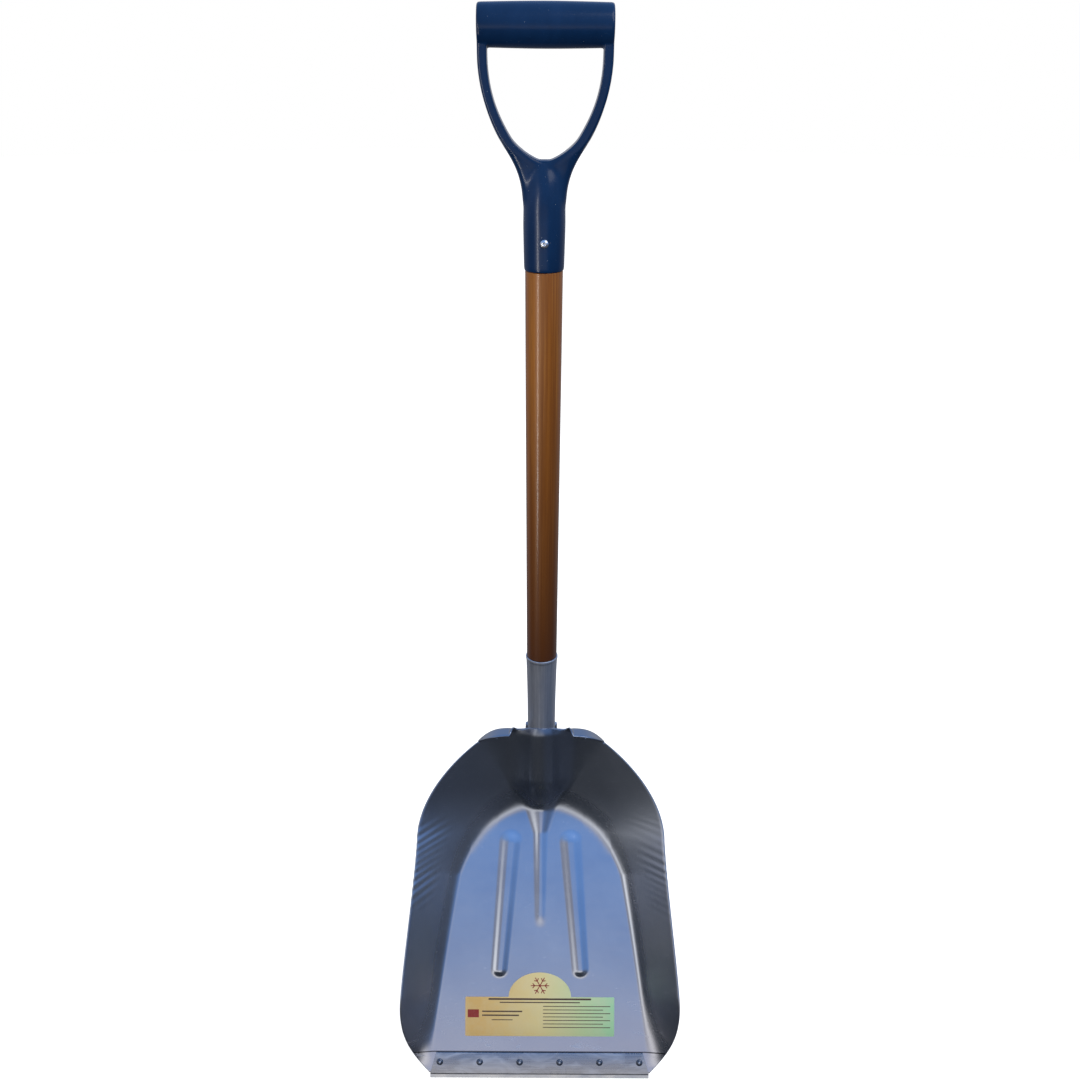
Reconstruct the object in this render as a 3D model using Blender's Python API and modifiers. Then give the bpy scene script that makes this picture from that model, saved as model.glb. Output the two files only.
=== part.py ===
"""Aluminium scoop shovel for snow: D-grip, ash shaft, tapered socket, pressed blade and riveted wear strip.

The part stands upright with its hollow side facing -Y. The origin is the middle of the flat end face of
the wear strip, the edge that meets the ground. Handle pieces are placed from the top of the grip downwards,
and blade pieces are placed in the plane of the blade's flat floor.
"""

import math

import bmesh
import bpy
import numpy as np

MM = 0.001

# Whole shovel
OVERALL_HEIGHT = 1216 * MM
SHAFT_SETBACK = 131 * MM  # the shaft's axis lies this far behind the ground edge
LIFT = math.radians(23.5)  # angle between the shaft and the blade's floor
FIT_GAP = 0.3 * MM

# D-grip, measured down from its top
BAR_LENGTH = 126.6 * MM
BAR_RADIUS = 20.3 * MM
BAR_END_RADIUS = 19.3 * MM
ARM_DEPTH = 22 * MM
ARM_ROUNDING = 4 * MM
GRIP_LENGTH = 242.5 * MM
GRIP_SOCKET_TOP = 146 * MM
GRIP_SOCKET_RADIUS = 21.2 * MM
GRIP_MOUTH_RADIUS = 19.7 * MM
TENON_TOP = 176 * MM
TENON_RADIUS = 17 * MM
GRIP_RIVET_DROP = 214 * MM

# Shaft, measured down from the grip's top
SHAFT_TOP_RADIUS = 19 * MM
SHAFT_FOOT_RADIUS = 17.2 * MM
SOCKET_MOUTH = 684 * MM
SHAFT_END = 838 * MM
SHAFT_NECK_RADIUS = 16.1 * MM
SHAFT_END_RADIUS = 13.6 * MM

# Socket
SOCKET_WALL = 1.8 * MM
SOCKET_MOUTH_RADIUS = 18.3 * MM
SOCKET_WAIST = 745 * MM
SOCKET_WAIST_RADIUS = 16.45 * MM
SOCKET_END = 852 * MM
SOCKET_END_RADIUS = 15.9 * MM
SOCKET_SCREW_DROP = 716 * MM

# Blade, in the plane of its floor: u across, v up from the ground edge, w towards the hollow side
SHEET = 2 * MM
BLADE_EDGE = 2 * MM
BLADE_TOP = 434.3 * MM
SHOULDER = (75 * MM, 424.5 * MM)
SIDE_BEND = (148 * MM, 305 * MM)
WIDEST = (168.5 * MM, 85 * MM)
TIP_CORNER = (137 * MM, BLADE_EDGE)
SIDE_HEIGHT = 45 * MM
BACK_EXTRA_HEIGHT = 2.3 * MM
SIDE_FADE = (8 * MM, 117 * MM)
WALL_FILLET = 0.16
FLOOR_TOP = 330 * MM
FLOOR_SHOULDER = (98 * MM, 250 * MM)
FLOOR_CORNER = (132 * MM, 30 * MM)

# Frog: the ridge that covers the socket, with a nose that turns into the floor and a low keel below
FROG_RADIUS = 19.3 * MM
FROG_FLANKS = (54, 46)  # steepness in degrees, at its foot and at the top edge
FROG_BLENDS = (15 * MM, 20 * MM)
FROG_NOSE = 338 * MM  # where the crest, dropping from the shaft's line, meets the floor
FROG_NOSE_SLOPE = 1.3
FROG_NOSE_BEND = 8 * MM
FROG_RADIUS_BAND = (315 * MM, 360 * MM)
FROG_FOOT_RADIUS = 6.5 * MM
KEEL = (183 * MM, 303 * MM, 345 * MM)
KEEL_HALF_WIDTHS = (8 * MM, 10 * MM, 26 * MM)
KEEL_HEIGHTS = (0.9 * MM, 2.6 * MM, 6 * MM)
KEEL_END = 16 * MM

# Pressed ribs beside the frog
RIB_TOP = (37.3 * MM, 291 * MM)
RIB_FOOT = (50.4 * MM, 131 * MM)
RIB_HALF_WIDTHS = (11.5 * MM, 15 * MM)  # at the foot and at the top
RIB_HEIGHTS = (2.7 * MM, 2.7 * MM)
RIB_CREST = 0.12  # share of the half width that is nearly flat
RIB_END_STEEPNESS = 1.1

# Foot steps, turned forward from the top edge of the blade
STEP_INNER = 29 * MM
STEP_FADE = 48 * MM
STEP_RAMP = 9 * MM
STEP_BEND_LENGTH = 6.3 * MM
STEP_LENGTH = 13 * MM
STEP_RISE = 5 * MM
STEP_ROOT = 400 * MM
PLAIN_LIP = 1 * MM

# Wear strip and its blind rivets
STRIP_SHEET = 1.2 * MM
STRIP_TOP = 27 * MM
STRIP_FOOT = -5 * MM
STRIP_HALF_WIDTH = 136.5 * MM
STRIP_TAPER = 0.28
RIVET_COUNT = 6
RIVET_SPACING = 49.8 * MM
RIVET_ROW = 15.5 * MM
RIVET_HEAD_RADIUS = 4.1 * MM
RIVET_SHANK_RADIUS = 2 * MM
MANDREL_RADIUS = 0.9 * MM

# Label
LABEL_HALF_WIDTH = 93 * MM
LABEL_FOOT = 47.6 * MM
LABEL_TOP = 96.7 * MM
LABEL_ARCH = 127.5 * MM
LABEL_ARCH_HALF_WIDTH = 39 * MM
LABEL_THICKNESS = 0.3 * MM

# Derived
TENON_GAP_RADIUS = TENON_RADIUS + FIT_GAP
STRIP_BACK = FIT_GAP
STRIP_FRONT = STRIP_BACK + STRIP_SHEET
LIP_FRONT = -0.5 * MM
LIP_BACK = LIP_FRONT - STRIP_SHEET
GROUND_W = (LIP_FRONT + LIP_BACK) / 2
RIVET_HOLE_RADIUS = RIVET_SHANK_RADIUS + FIT_GAP

UP = (math.cos(LIFT), math.sin(LIFT))  # along the shaft, as (v, w)
FORWARD = (-math.sin(LIFT), math.cos(LIFT))  # away from the shaft, as (v, w)


# ---------------------------------------------------------------- scene and helpers


def clear_scene():
    for old in list(bpy.data.objects):
        bpy.data.objects.remove(old, do_unlink=True)


def new_collection(name):
    collection = bpy.data.collections.new(name)
    bpy.context.scene.collection.children.link(collection)
    return collection


def material(name, colour, metallic, roughness):
    made = bpy.data.materials.new(name)
    made.use_nodes = True
    shader = made.node_tree.nodes["Principled BSDF"]
    shader.inputs["Base Color"].default_value = (*colour, 1)
    shader.inputs["Metallic"].default_value = metallic
    shader.inputs["Roughness"].default_value = roughness
    return made


def add_object(name, data, collection, parent=None):
    made = bpy.data.objects.new(name, data)
    collection.objects.link(made)
    made.parent = parent
    return made


def add_empty(name, location, tilt):
    empty = add_object(name, None, PARTS)
    empty.location = location
    empty.rotation_euler = (tilt, 0, 0)
    return empty


def turned(name, profile, steps, collection, parent=None, closed=False):
    """A turned piece: profile points are (radius, height), running down the outer side."""
    mesh = bpy.data.meshes.new(name)
    edges = [(i, i + 1) for i in range(len(profile) - 1)]
    if closed:
        edges.append((len(profile) - 1, 0))
    mesh.from_pydata([(radius, 0, height) for radius, height in profile], edges, [])
    made = add_object(name, mesh, collection, parent)
    screw = made.modifiers.new("turn", "SCREW")
    screw.steps = steps
    screw.render_steps = steps
    screw.use_merge_vertices = True
    screw.merge_threshold = 0.000001
    screw.use_smooth_shade = True
    return made


def rod(name, radius, length, sides, collection, parent=None):
    """A plain cylinder along its own Z, centred on its origin."""
    mesh = bpy.data.meshes.new(name)
    bm = bmesh.new()
    bmesh.ops.create_cone(
        bm, cap_ends=True, segments=sides, radius1=radius, radius2=radius, depth=length
    )
    bm.to_mesh(mesh)
    bm.free()
    return add_object(name, mesh, collection, parent)


def mark_cutter(cutter):
    cutter.hide_render = True
    cutter.display_type = "WIRE"


def combine(target, other, operation):
    mark_cutter(other)
    boolean = target.modifiers.new(operation.lower(), "BOOLEAN")
    boolean.operation = operation
    boolean.object = other
    boolean.solver = "EXACT"


def smooth(mesh, degrees=35):
    mesh.shade_smooth()
    mesh.set_sharp_from_angle(angle=math.radians(degrees))


def to_mesh(curve_object):
    """The curve object as a welded mesh object in the same place."""
    bpy.context.view_layer.update()
    evaluated = curve_object.evaluated_get(bpy.context.evaluated_depsgraph_get())
    mesh = bpy.data.meshes.new_from_object(evaluated)
    bm = bmesh.new()
    bm.from_mesh(mesh)
    bmesh.ops.remove_doubles(bm, verts=bm.verts, dist=0.00001)
    bm.to_mesh(mesh)
    bm.free()
    name = curve_object.name
    collection = curve_object.users_collection[0]
    parent, matrix = curve_object.parent, curve_object.matrix_world.copy()
    bpy.data.objects.remove(curve_object)
    made = add_object(name, mesh, collection, parent)
    made.matrix_world = matrix
    return made


def flat_outline(name, splines, half_depth, rounding, collection, parent=None):
    """Closed Bezier outlines, extruded both ways. A point is (location, left handle, right handle)."""
    curve = bpy.data.curves.new(name, "CURVE")
    curve.dimensions = "2D"
    curve.fill_mode = "BOTH"
    curve.resolution_u = 7
    curve.extrude = half_depth - rounding
    curve.bevel_depth = rounding
    curve.bevel_resolution = 1
    curve.offset = -rounding
    for points in splines:
        spline = curve.splines.new("BEZIER")
        spline.bezier_points.add(len(points) - 1)
        spline.use_cyclic_u = True
        for knot, (place, left, right) in zip(spline.bezier_points, points):
            knot.co = (*place, 0)
            knot.handle_left = (*left, 0)
            knot.handle_right = (*right, 0)
    return add_object(name, curve, collection, parent)


def ramp(value, start, end):
    """0 before start, 1 after end, smooth between them."""
    x = np.clip((value - start) / (end - start), 0, 1)
    return x * x * (3 - 2 * x)


def bezier(start, handle_a, handle_b, end, count):
    t = np.linspace(0, 1, count)[:, None]
    a, b, c, d = (np.array(p) for p in (start, handle_a, handle_b, end))
    return (1 - t) ** 3 * a + 3 * (1 - t) ** 2 * t * b + 3 * (1 - t) * t * t * c + t**3 * d


# ---------------------------------------------------------------- handle


def grip_outline():
    """The arms of the D as half points from top to bottom, mirrored into closed outlines."""
    outer = [
        ((63.2, 12), (63.2, 12), (63.2, 25)),
        ((63.2, 45), (63.2, 35), (63.2, 75)),
        ((44, 118), (53, 102.4), (33, 136)),
        ((21.4, 178), (21.6, 150), (21.2, 184)),
        ((17, 196), (19, 190), (17, 196)),
    ]
    inner = [
        ((54.2, 24), (54.2, 24), (54.2, 35)),
        ((54.2, 44), (54.2, 35), (54.2, 76)),
        ((33, 117), (45.6, 96.6), (26, 128)),
        ((0, 139.5), (10, 137), (-10, 137)),
    ]
    return [mirrored_outline(outer), mirrored_outline(inner)]


def mirrored_outline(half):
    def at(point, side):
        return (side * point[0] * MM, -point[1] * MM)

    right = [tuple(at(p, 1) for p in knot) for knot in half]
    left = [(at(k[0], -1), at(k[2], -1), at(k[1], -1)) for k in reversed(half) if k[0][0] > 0]
    return right + left


def make_grip():
    arms = flat_outline(
        "grip_arms", grip_outline(), ARM_DEPTH / 2, ARM_ROUNDING, CUTTERS, HANDLE
    )
    arms.rotation_euler = (math.pi / 2, 0, 0)
    arms = to_mesh(arms)

    half = BAR_LENGTH / 2
    bar_profile = [
        (0, half),
        (BAR_END_RADIUS - 1.5 * MM, half),
        (BAR_END_RADIUS, half - 1.5 * MM),
        (BAR_RADIUS - 0.3 * MM, half / 2),
        (BAR_RADIUS, 0),
        (BAR_RADIUS - 0.3 * MM, -half / 2),
        (BAR_END_RADIUS, -half + 1.5 * MM),
        (BAR_END_RADIUS - 1.5 * MM, -half),
        (0, -half),
    ]
    bar = turned("grip_bar", bar_profile, 28, CUTTERS, HANDLE)
    bar.location = (0, 0, -BAR_RADIUS)
    bar.rotation_euler = (0, math.pi / 2, 0)

    socket_profile = [
        (0, -GRIP_SOCKET_TOP),
        (13 * MM, -GRIP_SOCKET_TOP - 3 * MM),
        (18.5 * MM, -GRIP_SOCKET_TOP - 10 * MM),
        (GRIP_SOCKET_RADIUS, -GRIP_SOCKET_TOP - 24 * MM),
        (20.6 * MM, -GRIP_RIVET_DROP),
        (20.2 * MM, -GRIP_LENGTH + 4 * MM),
        (GRIP_MOUTH_RADIUS, -GRIP_LENGTH + 1 * MM),
        (GRIP_MOUTH_RADIUS - 0.8 * MM, -GRIP_LENGTH),
        (0, -GRIP_LENGTH),
    ]
    grip = turned("d_grip", socket_profile, 32, PARTS, HANDLE)
    combine(grip, arms, "UNION")
    combine(grip, bar, "UNION")

    bore_depth = GRIP_LENGTH - TENON_TOP + FIT_GAP + 5 * MM
    bore = rod("grip_bore", TENON_GAP_RADIUS, bore_depth, 32, CUTTERS, HANDLE)
    bore.location = (0, 0, -TENON_TOP + FIT_GAP - bore_depth / 2)
    combine(grip, bore, "DIFFERENCE")
    combine(grip, cross_hole("grip_rivet_hole", GRIP_RIVET_DROP), "DIFFERENCE")
    grip.data.materials.append(material("navy_plastic", (0.008, 0.04, 0.16), 0, 0.32))


def cross_hole(name, drop):
    """A hole from front to back through a handle piece."""
    hole = rod(name, RIVET_SHANK_RADIUS + 2 * FIT_GAP, 60 * MM, 16, CUTTERS, HANDLE)
    hole.location = (0, 0, -drop)
    hole.rotation_euler = (math.pi / 2, 0, 0)
    return hole


def make_grip_rivet():
    reach = 20.6 * MM + FIT_GAP
    head = 1.7 * MM
    profile = [
        (0, reach + head - 0.5 * MM),
        (1.1 * MM, reach + head),
        (2.8 * MM, reach + 0.7 * head),
        (RIVET_HEAD_RADIUS, reach),
        (RIVET_SHANK_RADIUS + FIT_GAP, reach),
        (RIVET_SHANK_RADIUS + FIT_GAP, -reach),
        (RIVET_HEAD_RADIUS, -reach),
        (2.8 * MM, -reach - 0.7 * head),
        (0, -reach - head),
    ]
    rivet = turned("grip_rivet", profile, 16, PARTS, HANDLE)
    rivet.location = (0, 0, -GRIP_RIVET_DROP)
    rivet.rotation_euler = (math.pi / 2, 0, 0)
    rivet.data.materials.append(material("rivet_steel", (0.62, 0.64, 0.66), 1, 0.3))


def make_shaft():
    profile = [
        (0, -TENON_TOP),
        (TENON_RADIUS - 1.5 * MM, -TENON_TOP),
        (TENON_RADIUS, -TENON_TOP - 2 * MM),
        (TENON_RADIUS, -GRIP_LENGTH - FIT_GAP),
        (SHAFT_TOP_RADIUS, -GRIP_LENGTH - FIT_GAP),
        (SHAFT_FOOT_RADIUS, -SOCKET_MOUTH + FIT_GAP),
        (SHAFT_NECK_RADIUS, -SOCKET_MOUTH + FIT_GAP),
        (SOCKET_WAIST_RADIUS - SOCKET_WALL - FIT_GAP, -SOCKET_WAIST),
        (SHAFT_END_RADIUS, -SHAFT_END),
        (0, -SHAFT_END),
    ]
    shaft = turned("shaft", profile, 32, PARTS, HANDLE)
    combine(shaft, cross_hole("shaft_rivet_hole", GRIP_RIVET_DROP), "DIFFERENCE")
    pilot_depth = 40 * MM
    pilot = rod("screw_pilot", RIVET_SHANK_RADIUS + FIT_GAP, pilot_depth, 12, CUTTERS, HANDLE)
    pilot.location = (0, pilot_depth / 2 - 9 * MM, -SOCKET_SCREW_DROP)
    pilot.rotation_euler = (math.pi / 2, 0, 0)
    combine(shaft, pilot, "DIFFERENCE")
    shaft.data.materials.append(material("ash_wood", (0.3, 0.12, 0.035), 0, 0.4))


def make_socket():
    wall = SOCKET_WALL
    profile = [
        (SOCKET_MOUTH_RADIUS - 0.6 * MM, -SOCKET_MOUTH),
        (SOCKET_MOUTH_RADIUS, -SOCKET_MOUTH - 0.8 * MM),
        (17.4 * MM, -SOCKET_MOUTH - 18 * MM),
        (SOCKET_WAIST_RADIUS, -SOCKET_WAIST),
        (SOCKET_END_RADIUS, -SOCKET_END),
        (SOCKET_END_RADIUS - wall, -SOCKET_END),
        (SOCKET_WAIST_RADIUS - wall, -SOCKET_WAIST),
        (SOCKET_MOUTH_RADIUS - wall, -SOCKET_MOUTH),
    ]
    socket = turned("socket", profile, 32, PARTS, HANDLE, closed=True)
    hole_length = 20 * MM
    hole = rod("screw_hole", RIVET_SHANK_RADIUS + FIT_GAP, hole_length, 12, CUTTERS, HANDLE)
    hole.location = (0, 18 * MM, -SOCKET_SCREW_DROP)
    hole.rotation_euler = (math.pi / 2, 0, 0)
    combine(socket, hole, "DIFFERENCE")
    socket.data.materials.append(material("socket_aluminium", (0.55, 0.57, 0.6), 1, 0.5))


def make_socket_screw():
    """Round-head wood screw from behind. Its tip points forward, along -Y."""
    seat = 17.5 * MM + FIT_GAP
    profile = [
        (0, seat + 2.2 * MM),
        (2.6 * MM, seat + 1.8 * MM),
        (4 * MM, seat),
        (RIVET_SHANK_RADIUS, seat),
        (RIVET_SHANK_RADIUS, -3 * MM),
        (0, -8 * MM),
    ]
    screw = turned("socket_screw", profile, 16, PARTS, HANDLE)
    screw.location = (0, 0, -SOCKET_SCREW_DROP)
    screw.rotation_euler = (-math.pi / 2, 0, 0)
    screw.data.materials.append(material("screw_steel", (0.5, 0.5, 0.52), 1, 0.35))


# ---------------------------------------------------------------- blade


def rim_curve():
    """The side rim from the shoulder down to the tip corner."""
    upper = bezier(SHOULDER, (100 * MM, 406 * MM), (148 * MM, 358 * MM), SIDE_BEND, 40)
    side = bezier(SIDE_BEND, (151 * MM, 245 * MM), (168.5 * MM, 130 * MM), WIDEST, 40)
    corner = bezier(WIDEST, (168.5 * MM, 40 * MM), (157 * MM, 22 * MM), TIP_CORNER, 40)
    return np.vstack([upper, side[1:], corner[1:]])


def floor_curve():
    """Half of the outline of the flat floor, from the middle of its top to the ground edge."""
    top = bezier((0, FLOOR_TOP), (42 * MM, FLOOR_TOP), (80 * MM, 300 * MM), FLOOR_SHOULDER, 40)
    side = bezier(FLOOR_SHOULDER, (107 * MM, 205 * MM), (126 * MM, 90 * MM), FLOOR_CORNER, 40)
    below = np.array([(FLOOR_CORNER[0], -20 * MM)])
    return np.vstack([top, side[1:], below])


def top_edge(u):
    """Height in the floor's plane of the blade's top edge, before its lip."""
    return SHOULDER[1] + (BLADE_TOP - SHOULDER[1]) * (1 - (u / SHOULDER[0]) ** 5)


def distance(points, line):
    """Shortest distance from each point to a polyline."""
    start, end = line[:-1], line[1:]
    along = end - start
    reach = points[:, None, :] - start[None]
    part = np.clip((reach * along).sum(2) / (along**2).sum(1), 0, 1)
    return np.linalg.norm(reach - part[..., None] * along, axis=2).min(1)


def soft_max(a, b, blend):
    """The larger of two heights, with a fillet where they meet."""
    overlap = np.maximum(blend - np.abs(a - b), 0) / blend
    return np.maximum(a, b) + overlap**2 * blend / 4


def wall_height(u, v):
    points = np.column_stack([u, v])
    across = np.linspace(0, SHOULDER[0], 30)[:-1]
    rim = np.vstack([np.column_stack([across, top_edge(across)]), rim_curve()])
    floor = floor_curve()
    floor_edge = np.interp(v, floor[::-1, 1], floor[::-1, 0])
    outside = (v > FLOOR_TOP) | (u > floor_edge)
    from_floor = np.where(outside, distance(points, floor), 0)
    share = from_floor / (from_floor + distance(points, rim))
    slope = np.sqrt(share**2 + WALL_FILLET**2) - WALL_FILLET
    slope = slope / (math.sqrt(1 + WALL_FILLET**2) - WALL_FILLET)
    full = SIDE_HEIGHT * ramp(v, *SIDE_FADE) + BACK_EXTRA_HEIGHT * ramp(v, SIDE_BEND[1], BLADE_TOP)
    return full * slope


def frog_height(u, v):
    """A ridge parallel to the shaft, round over the socket, with a narrowing nose that turns into the floor."""
    axis_drop = SHAFT_SETBACK + STRIP_FOOT * UP[1] - GROUND_W * UP[0]
    along_shaft = (FROG_RADIUS - axis_drop + v * UP[1]) / UP[0]
    crest = -soft_max(-along_shaft, -(v - FROG_NOSE) * FROG_NOSE_SLOPE, FROG_NOSE_BEND)
    radius = np.interp(v, FROG_RADIUS_BAND, [FROG_FOOT_RADIUS, FROG_RADIUS])
    flank = np.radians(np.interp(v, [FLOOR_TOP, BLADE_TOP], FROG_FLANKS))
    inner = np.minimum(np.abs(u), radius * np.sin(flank))
    fall = radius - np.sqrt(radius**2 - inner**2)
    return crest - fall - (np.abs(u) - inner) * np.tan(flank)


def keel_height(u, v):
    half_width = np.interp(v, KEEL, KEEL_HALF_WIDTHS)
    height = np.interp(v, KEEL, KEEL_HEIGHTS) * ramp(v, KEEL[0], KEEL[0] + KEEL_END)
    return height * np.cos(np.clip(u / half_width, -1, 1) * math.pi / 2) ** 2


def rib_height(u, v):
    """A soft rib with a steep foot."""
    foot = np.array(RIB_FOOT)
    length = np.linalg.norm(np.array(RIB_TOP) - foot)
    along_u, along_v = (np.array(RIB_TOP) - foot) / length
    along = (u - foot[0]) * along_u + (v - foot[1]) * along_v
    across = (u - foot[0]) * along_v - (v - foot[1]) * along_u
    past_end = np.maximum(np.maximum(-along * RIB_END_STEEPNESS, along - length), 0)
    off = np.hypot(across, past_end)
    share = np.clip(along / length, 0, 1)
    half_width = RIB_HALF_WIDTHS[0] + share * (RIB_HALF_WIDTHS[1] - RIB_HALF_WIDTHS[0])
    height = RIB_HEIGHTS[0] + share * (RIB_HEIGHTS[1] - RIB_HEIGHTS[0])
    return height * (1 - ramp(off, RIB_CREST * half_width, half_width))


def blade_height(u, v):
    base = wall_height(u, v) + keel_height(u, v)
    blend = np.interp(v, [FLOOR_TOP, BLADE_TOP], FROG_BLENDS)
    return soft_max(base, frog_height(u, v), blend) + rib_height(u, v)


def column_places(half_width, v):
    """Where a row's points lie across the blade: closer at the frog, the rib and the wall."""
    up_rib = [RIB_FOOT[1], RIB_TOP[1]]
    rib_middle = np.interp(v, up_rib, [RIB_FOOT[0], RIB_TOP[0]])
    rib_half = np.interp(v, up_rib, RIB_HALF_WIDTHS)
    floor = floor_curve()
    floor_edge = np.interp(min(v, 265 * MM), floor[::-1, 1], floor[::-1, 0])
    floor_edge = min(floor_edge, half_width - 18 * MM)
    places = [FROG_RADIUS * math.sin(math.radians(a)) for a in (0, 25, 48, 68, 90)]
    guides = [
        (rib_middle - rib_half, 1),
        (rib_middle, 2),
        (rib_middle + rib_half, 2),
        (floor_edge, 2),
        (half_width, 5),
    ]
    for guide, count in guides:
        places += list(np.linspace(places[-1], guide, count + 1)[1:])
    return np.array(places)


def step_lip(u):
    """Along the top edge: how far the lip is turned forward (0 to 1), and how much of it is left."""
    turn = ramp(u, STEP_INNER, STEP_INNER + STEP_RAMP)
    left = 1 - np.clip((u - STEP_FADE) / (SHOULDER[0] - STEP_FADE), 0, 1) ** 2
    return turn, left


def blade_rows(count, extra):
    """Points of half the blade's hollow face, row by row from the ground edge up, as (u, v, w).

    Extra rows halve the last gaps, where the frog's nose turns.
    """
    rim = rim_curve()[::-1]
    travel = np.concatenate([[0], np.cumsum(np.linalg.norm(np.diff(rim, axis=0), axis=1))])
    rows = []
    places = np.linspace(0, travel[-1], count)
    between = (places[:-1] + places[1:])[-extra:] / 2
    for part in np.sort(np.concatenate([places, between])):
        half_width = np.interp(part, travel, rim[:, 0])
        rim_v = np.interp(part, travel, rim[:, 1])
        u = column_places(half_width, rim_v)
        crown = (BLADE_TOP / SHOULDER[1] - 1) * (1 - (u / half_width) ** 5)
        v = rim_v * (1 + crown)
        turn, left = step_lip(u)
        w = blade_height(u, v)
        rise = STEP_RISE * turn * left * ramp(v, STEP_ROOT, BLADE_TOP)
        rows.append(np.column_stack([u, v + rise * UP[0], w + rise * UP[1]]))
    return rows


def lip_rows(edge):
    """The lip beyond the top row: straight up at the frog, bent forward into a foot step beside it."""
    turn, left = step_lip(edge[:, 0])
    angle = np.maximum(turn * math.pi / 2, 0.001)
    rows = []
    for share in (1 / 3, 2 / 3, 1):
        up = STEP_BEND_LENGTH / angle * np.sin(angle * share)
        forward = STEP_BEND_LENGTH / angle * (1 - np.cos(angle * share))
        rows.append((up, forward))
    length = PLAIN_LIP + STEP_LENGTH * turn
    rows.append((up + length * np.cos(angle), forward + length * np.sin(angle)))
    made = []
    for up, forward in rows:
        v = edge[:, 1] + left * (up * UP[0] + forward * FORWARD[0])
        w = edge[:, 2] + left * (up * UP[1] + forward * FORWARD[1])
        made.append(np.column_stack([edge[:, 0], v, w]))
    return made


def make_blade():
    rows = blade_rows(34, 12)
    rows += lip_rows(rows[-1])
    columns = len(rows[0])
    mesh = bpy.data.meshes.new("blade")
    bm = bmesh.new()
    bmesh.ops.create_grid(bm, x_segments=columns - 1, y_segments=len(rows) - 1, size=1)
    for vert in bm.verts:
        i = round((vert.co.x + 1) / 2 * (columns - 1))
        j = round((vert.co.y + 1) / 2 * (len(rows) - 1))
        vert.co = rows[j][i]
    bmesh.ops.remove_doubles(bm, verts=bm.verts, dist=0.00001)
    bm.to_mesh(mesh)
    bm.free()
    smooth(mesh)
    blade = add_object("blade", mesh, PARTS, BLADE_PLANE)
    mirror = blade.modifiers.new("mirror", "MIRROR")
    mirror.use_clip = True
    mirror.merge_threshold = 0.00001
    solid = blade.modifiers.new("sheet", "SOLIDIFY")
    solid.thickness = SHEET
    solid.offset = -1
    for index in range(RIVET_COUNT):
        hole = rod(f"blade_hole_{index + 1}", RIVET_HOLE_RADIUS, 10 * MM, 12, CUTTERS, BLADE_PLANE)
        hole.location = (rivet_place(index), RIVET_ROW, 0)
        combine(blade, hole, "DIFFERENCE")
    blade.data.materials.append(material("blade_aluminium", (0.6, 0.63, 0.68), 1, 0.3))


def rivet_place(index):
    return (index - (RIVET_COUNT - 1) / 2) * RIVET_SPACING


def make_wear_strip():
    """A joggled strip: it lies on the blade, steps down at the blade's edge and ends in a short lip."""
    outline = [
        (STRIP_TOP, STRIP_BACK),
        (STRIP_TOP, STRIP_FRONT),
        (BLADE_EDGE - FIT_GAP - STRIP_SHEET, STRIP_FRONT),
        (BLADE_EDGE - FIT_GAP - STRIP_SHEET, LIP_FRONT),
        (STRIP_FOOT, LIP_FRONT),
        (STRIP_FOOT, LIP_BACK),
        (BLADE_EDGE - FIT_GAP, LIP_BACK),
        (BLADE_EDGE - FIT_GAP, STRIP_BACK),
    ]
    curve = bpy.data.curves.new("wear_strip", "CURVE")
    curve.dimensions = "2D"
    curve.fill_mode = "BOTH"
    curve.extrude = STRIP_HALF_WIDTH
    spline = curve.splines.new("POLY")
    spline.points.add(len(outline) - 1)
    spline.use_cyclic_u = True
    for point, (v, w) in zip(spline.points, outline):
        point.co = (v, w, 0, 1)
    strip = to_mesh(add_object("wear_strip", curve, PARTS, BLADE_PLANE))
    for vert in strip.data.vertices:
        v, w, u = vert.co
        narrowed = 1 - STRIP_TAPER * max(v, 0) / STRIP_HALF_WIDTH
        vert.co = (u * narrowed, v, w)
    for index in range(RIVET_COUNT):
        hole = rod(f"strip_hole_{index + 1}", RIVET_HOLE_RADIUS, 10 * MM, 12, CUTTERS, BLADE_PLANE)
        hole.location = (rivet_place(index), RIVET_ROW, 0)
        combine(strip, hole, "DIFFERENCE")
    strip.data.materials.append(material("stainless_steel", (0.55, 0.55, 0.56), 1, 0.28))


def make_strip_rivets():
    """Blind rivets: an aluminium body clamped over the strip and the blade, with a steel mandrel in it."""
    front = STRIP_FRONT + FIT_GAP
    back = -SHEET - FIT_GAP
    bore = MANDREL_RADIUS + FIT_GAP
    tail = back - 4 * MM
    body_profile = [
        (1.7 * MM, front + 1.5 * MM),
        (3.2 * MM, front + 1.1 * MM),
        (RIVET_HEAD_RADIUS, front),
        (RIVET_SHANK_RADIUS, front),
        (RIVET_SHANK_RADIUS, back),
        (3.2 * MM, back),
        (2.9 * MM, tail + 1 * MM),
        (2.2 * MM, tail),
        (bore, tail),
        (bore, front + 1 * MM),
    ]
    mandrel_profile = [
        (0, front + 0.8 * MM),
        (MANDREL_RADIUS, front + 0.6 * MM),
        (MANDREL_RADIUS, tail - FIT_GAP),
        (1.8 * MM, tail - FIT_GAP),
        (1.5 * MM, tail - 1.6 * MM),
        (0, tail - 1.9 * MM),
    ]
    aluminium = material("rivet_aluminium", (0.6, 0.61, 0.63), 1, 0.35)
    steel = material("mandrel_steel", (0.45, 0.45, 0.46), 1, 0.4)
    for index in range(RIVET_COUNT):
        body = turned(f"strip_rivet_{index + 1}", body_profile, 14, PARTS, BLADE_PLANE, closed=True)
        mandrel = turned(f"rivet_mandrel_{index + 1}", mandrel_profile, 10, PARTS, BLADE_PLANE)
        for piece, finish in ((body, aluminium), (mandrel, steel)):
            piece.location = (rivet_place(index), RIVET_ROW, 0)
            piece.data.materials.append(finish)


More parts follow.
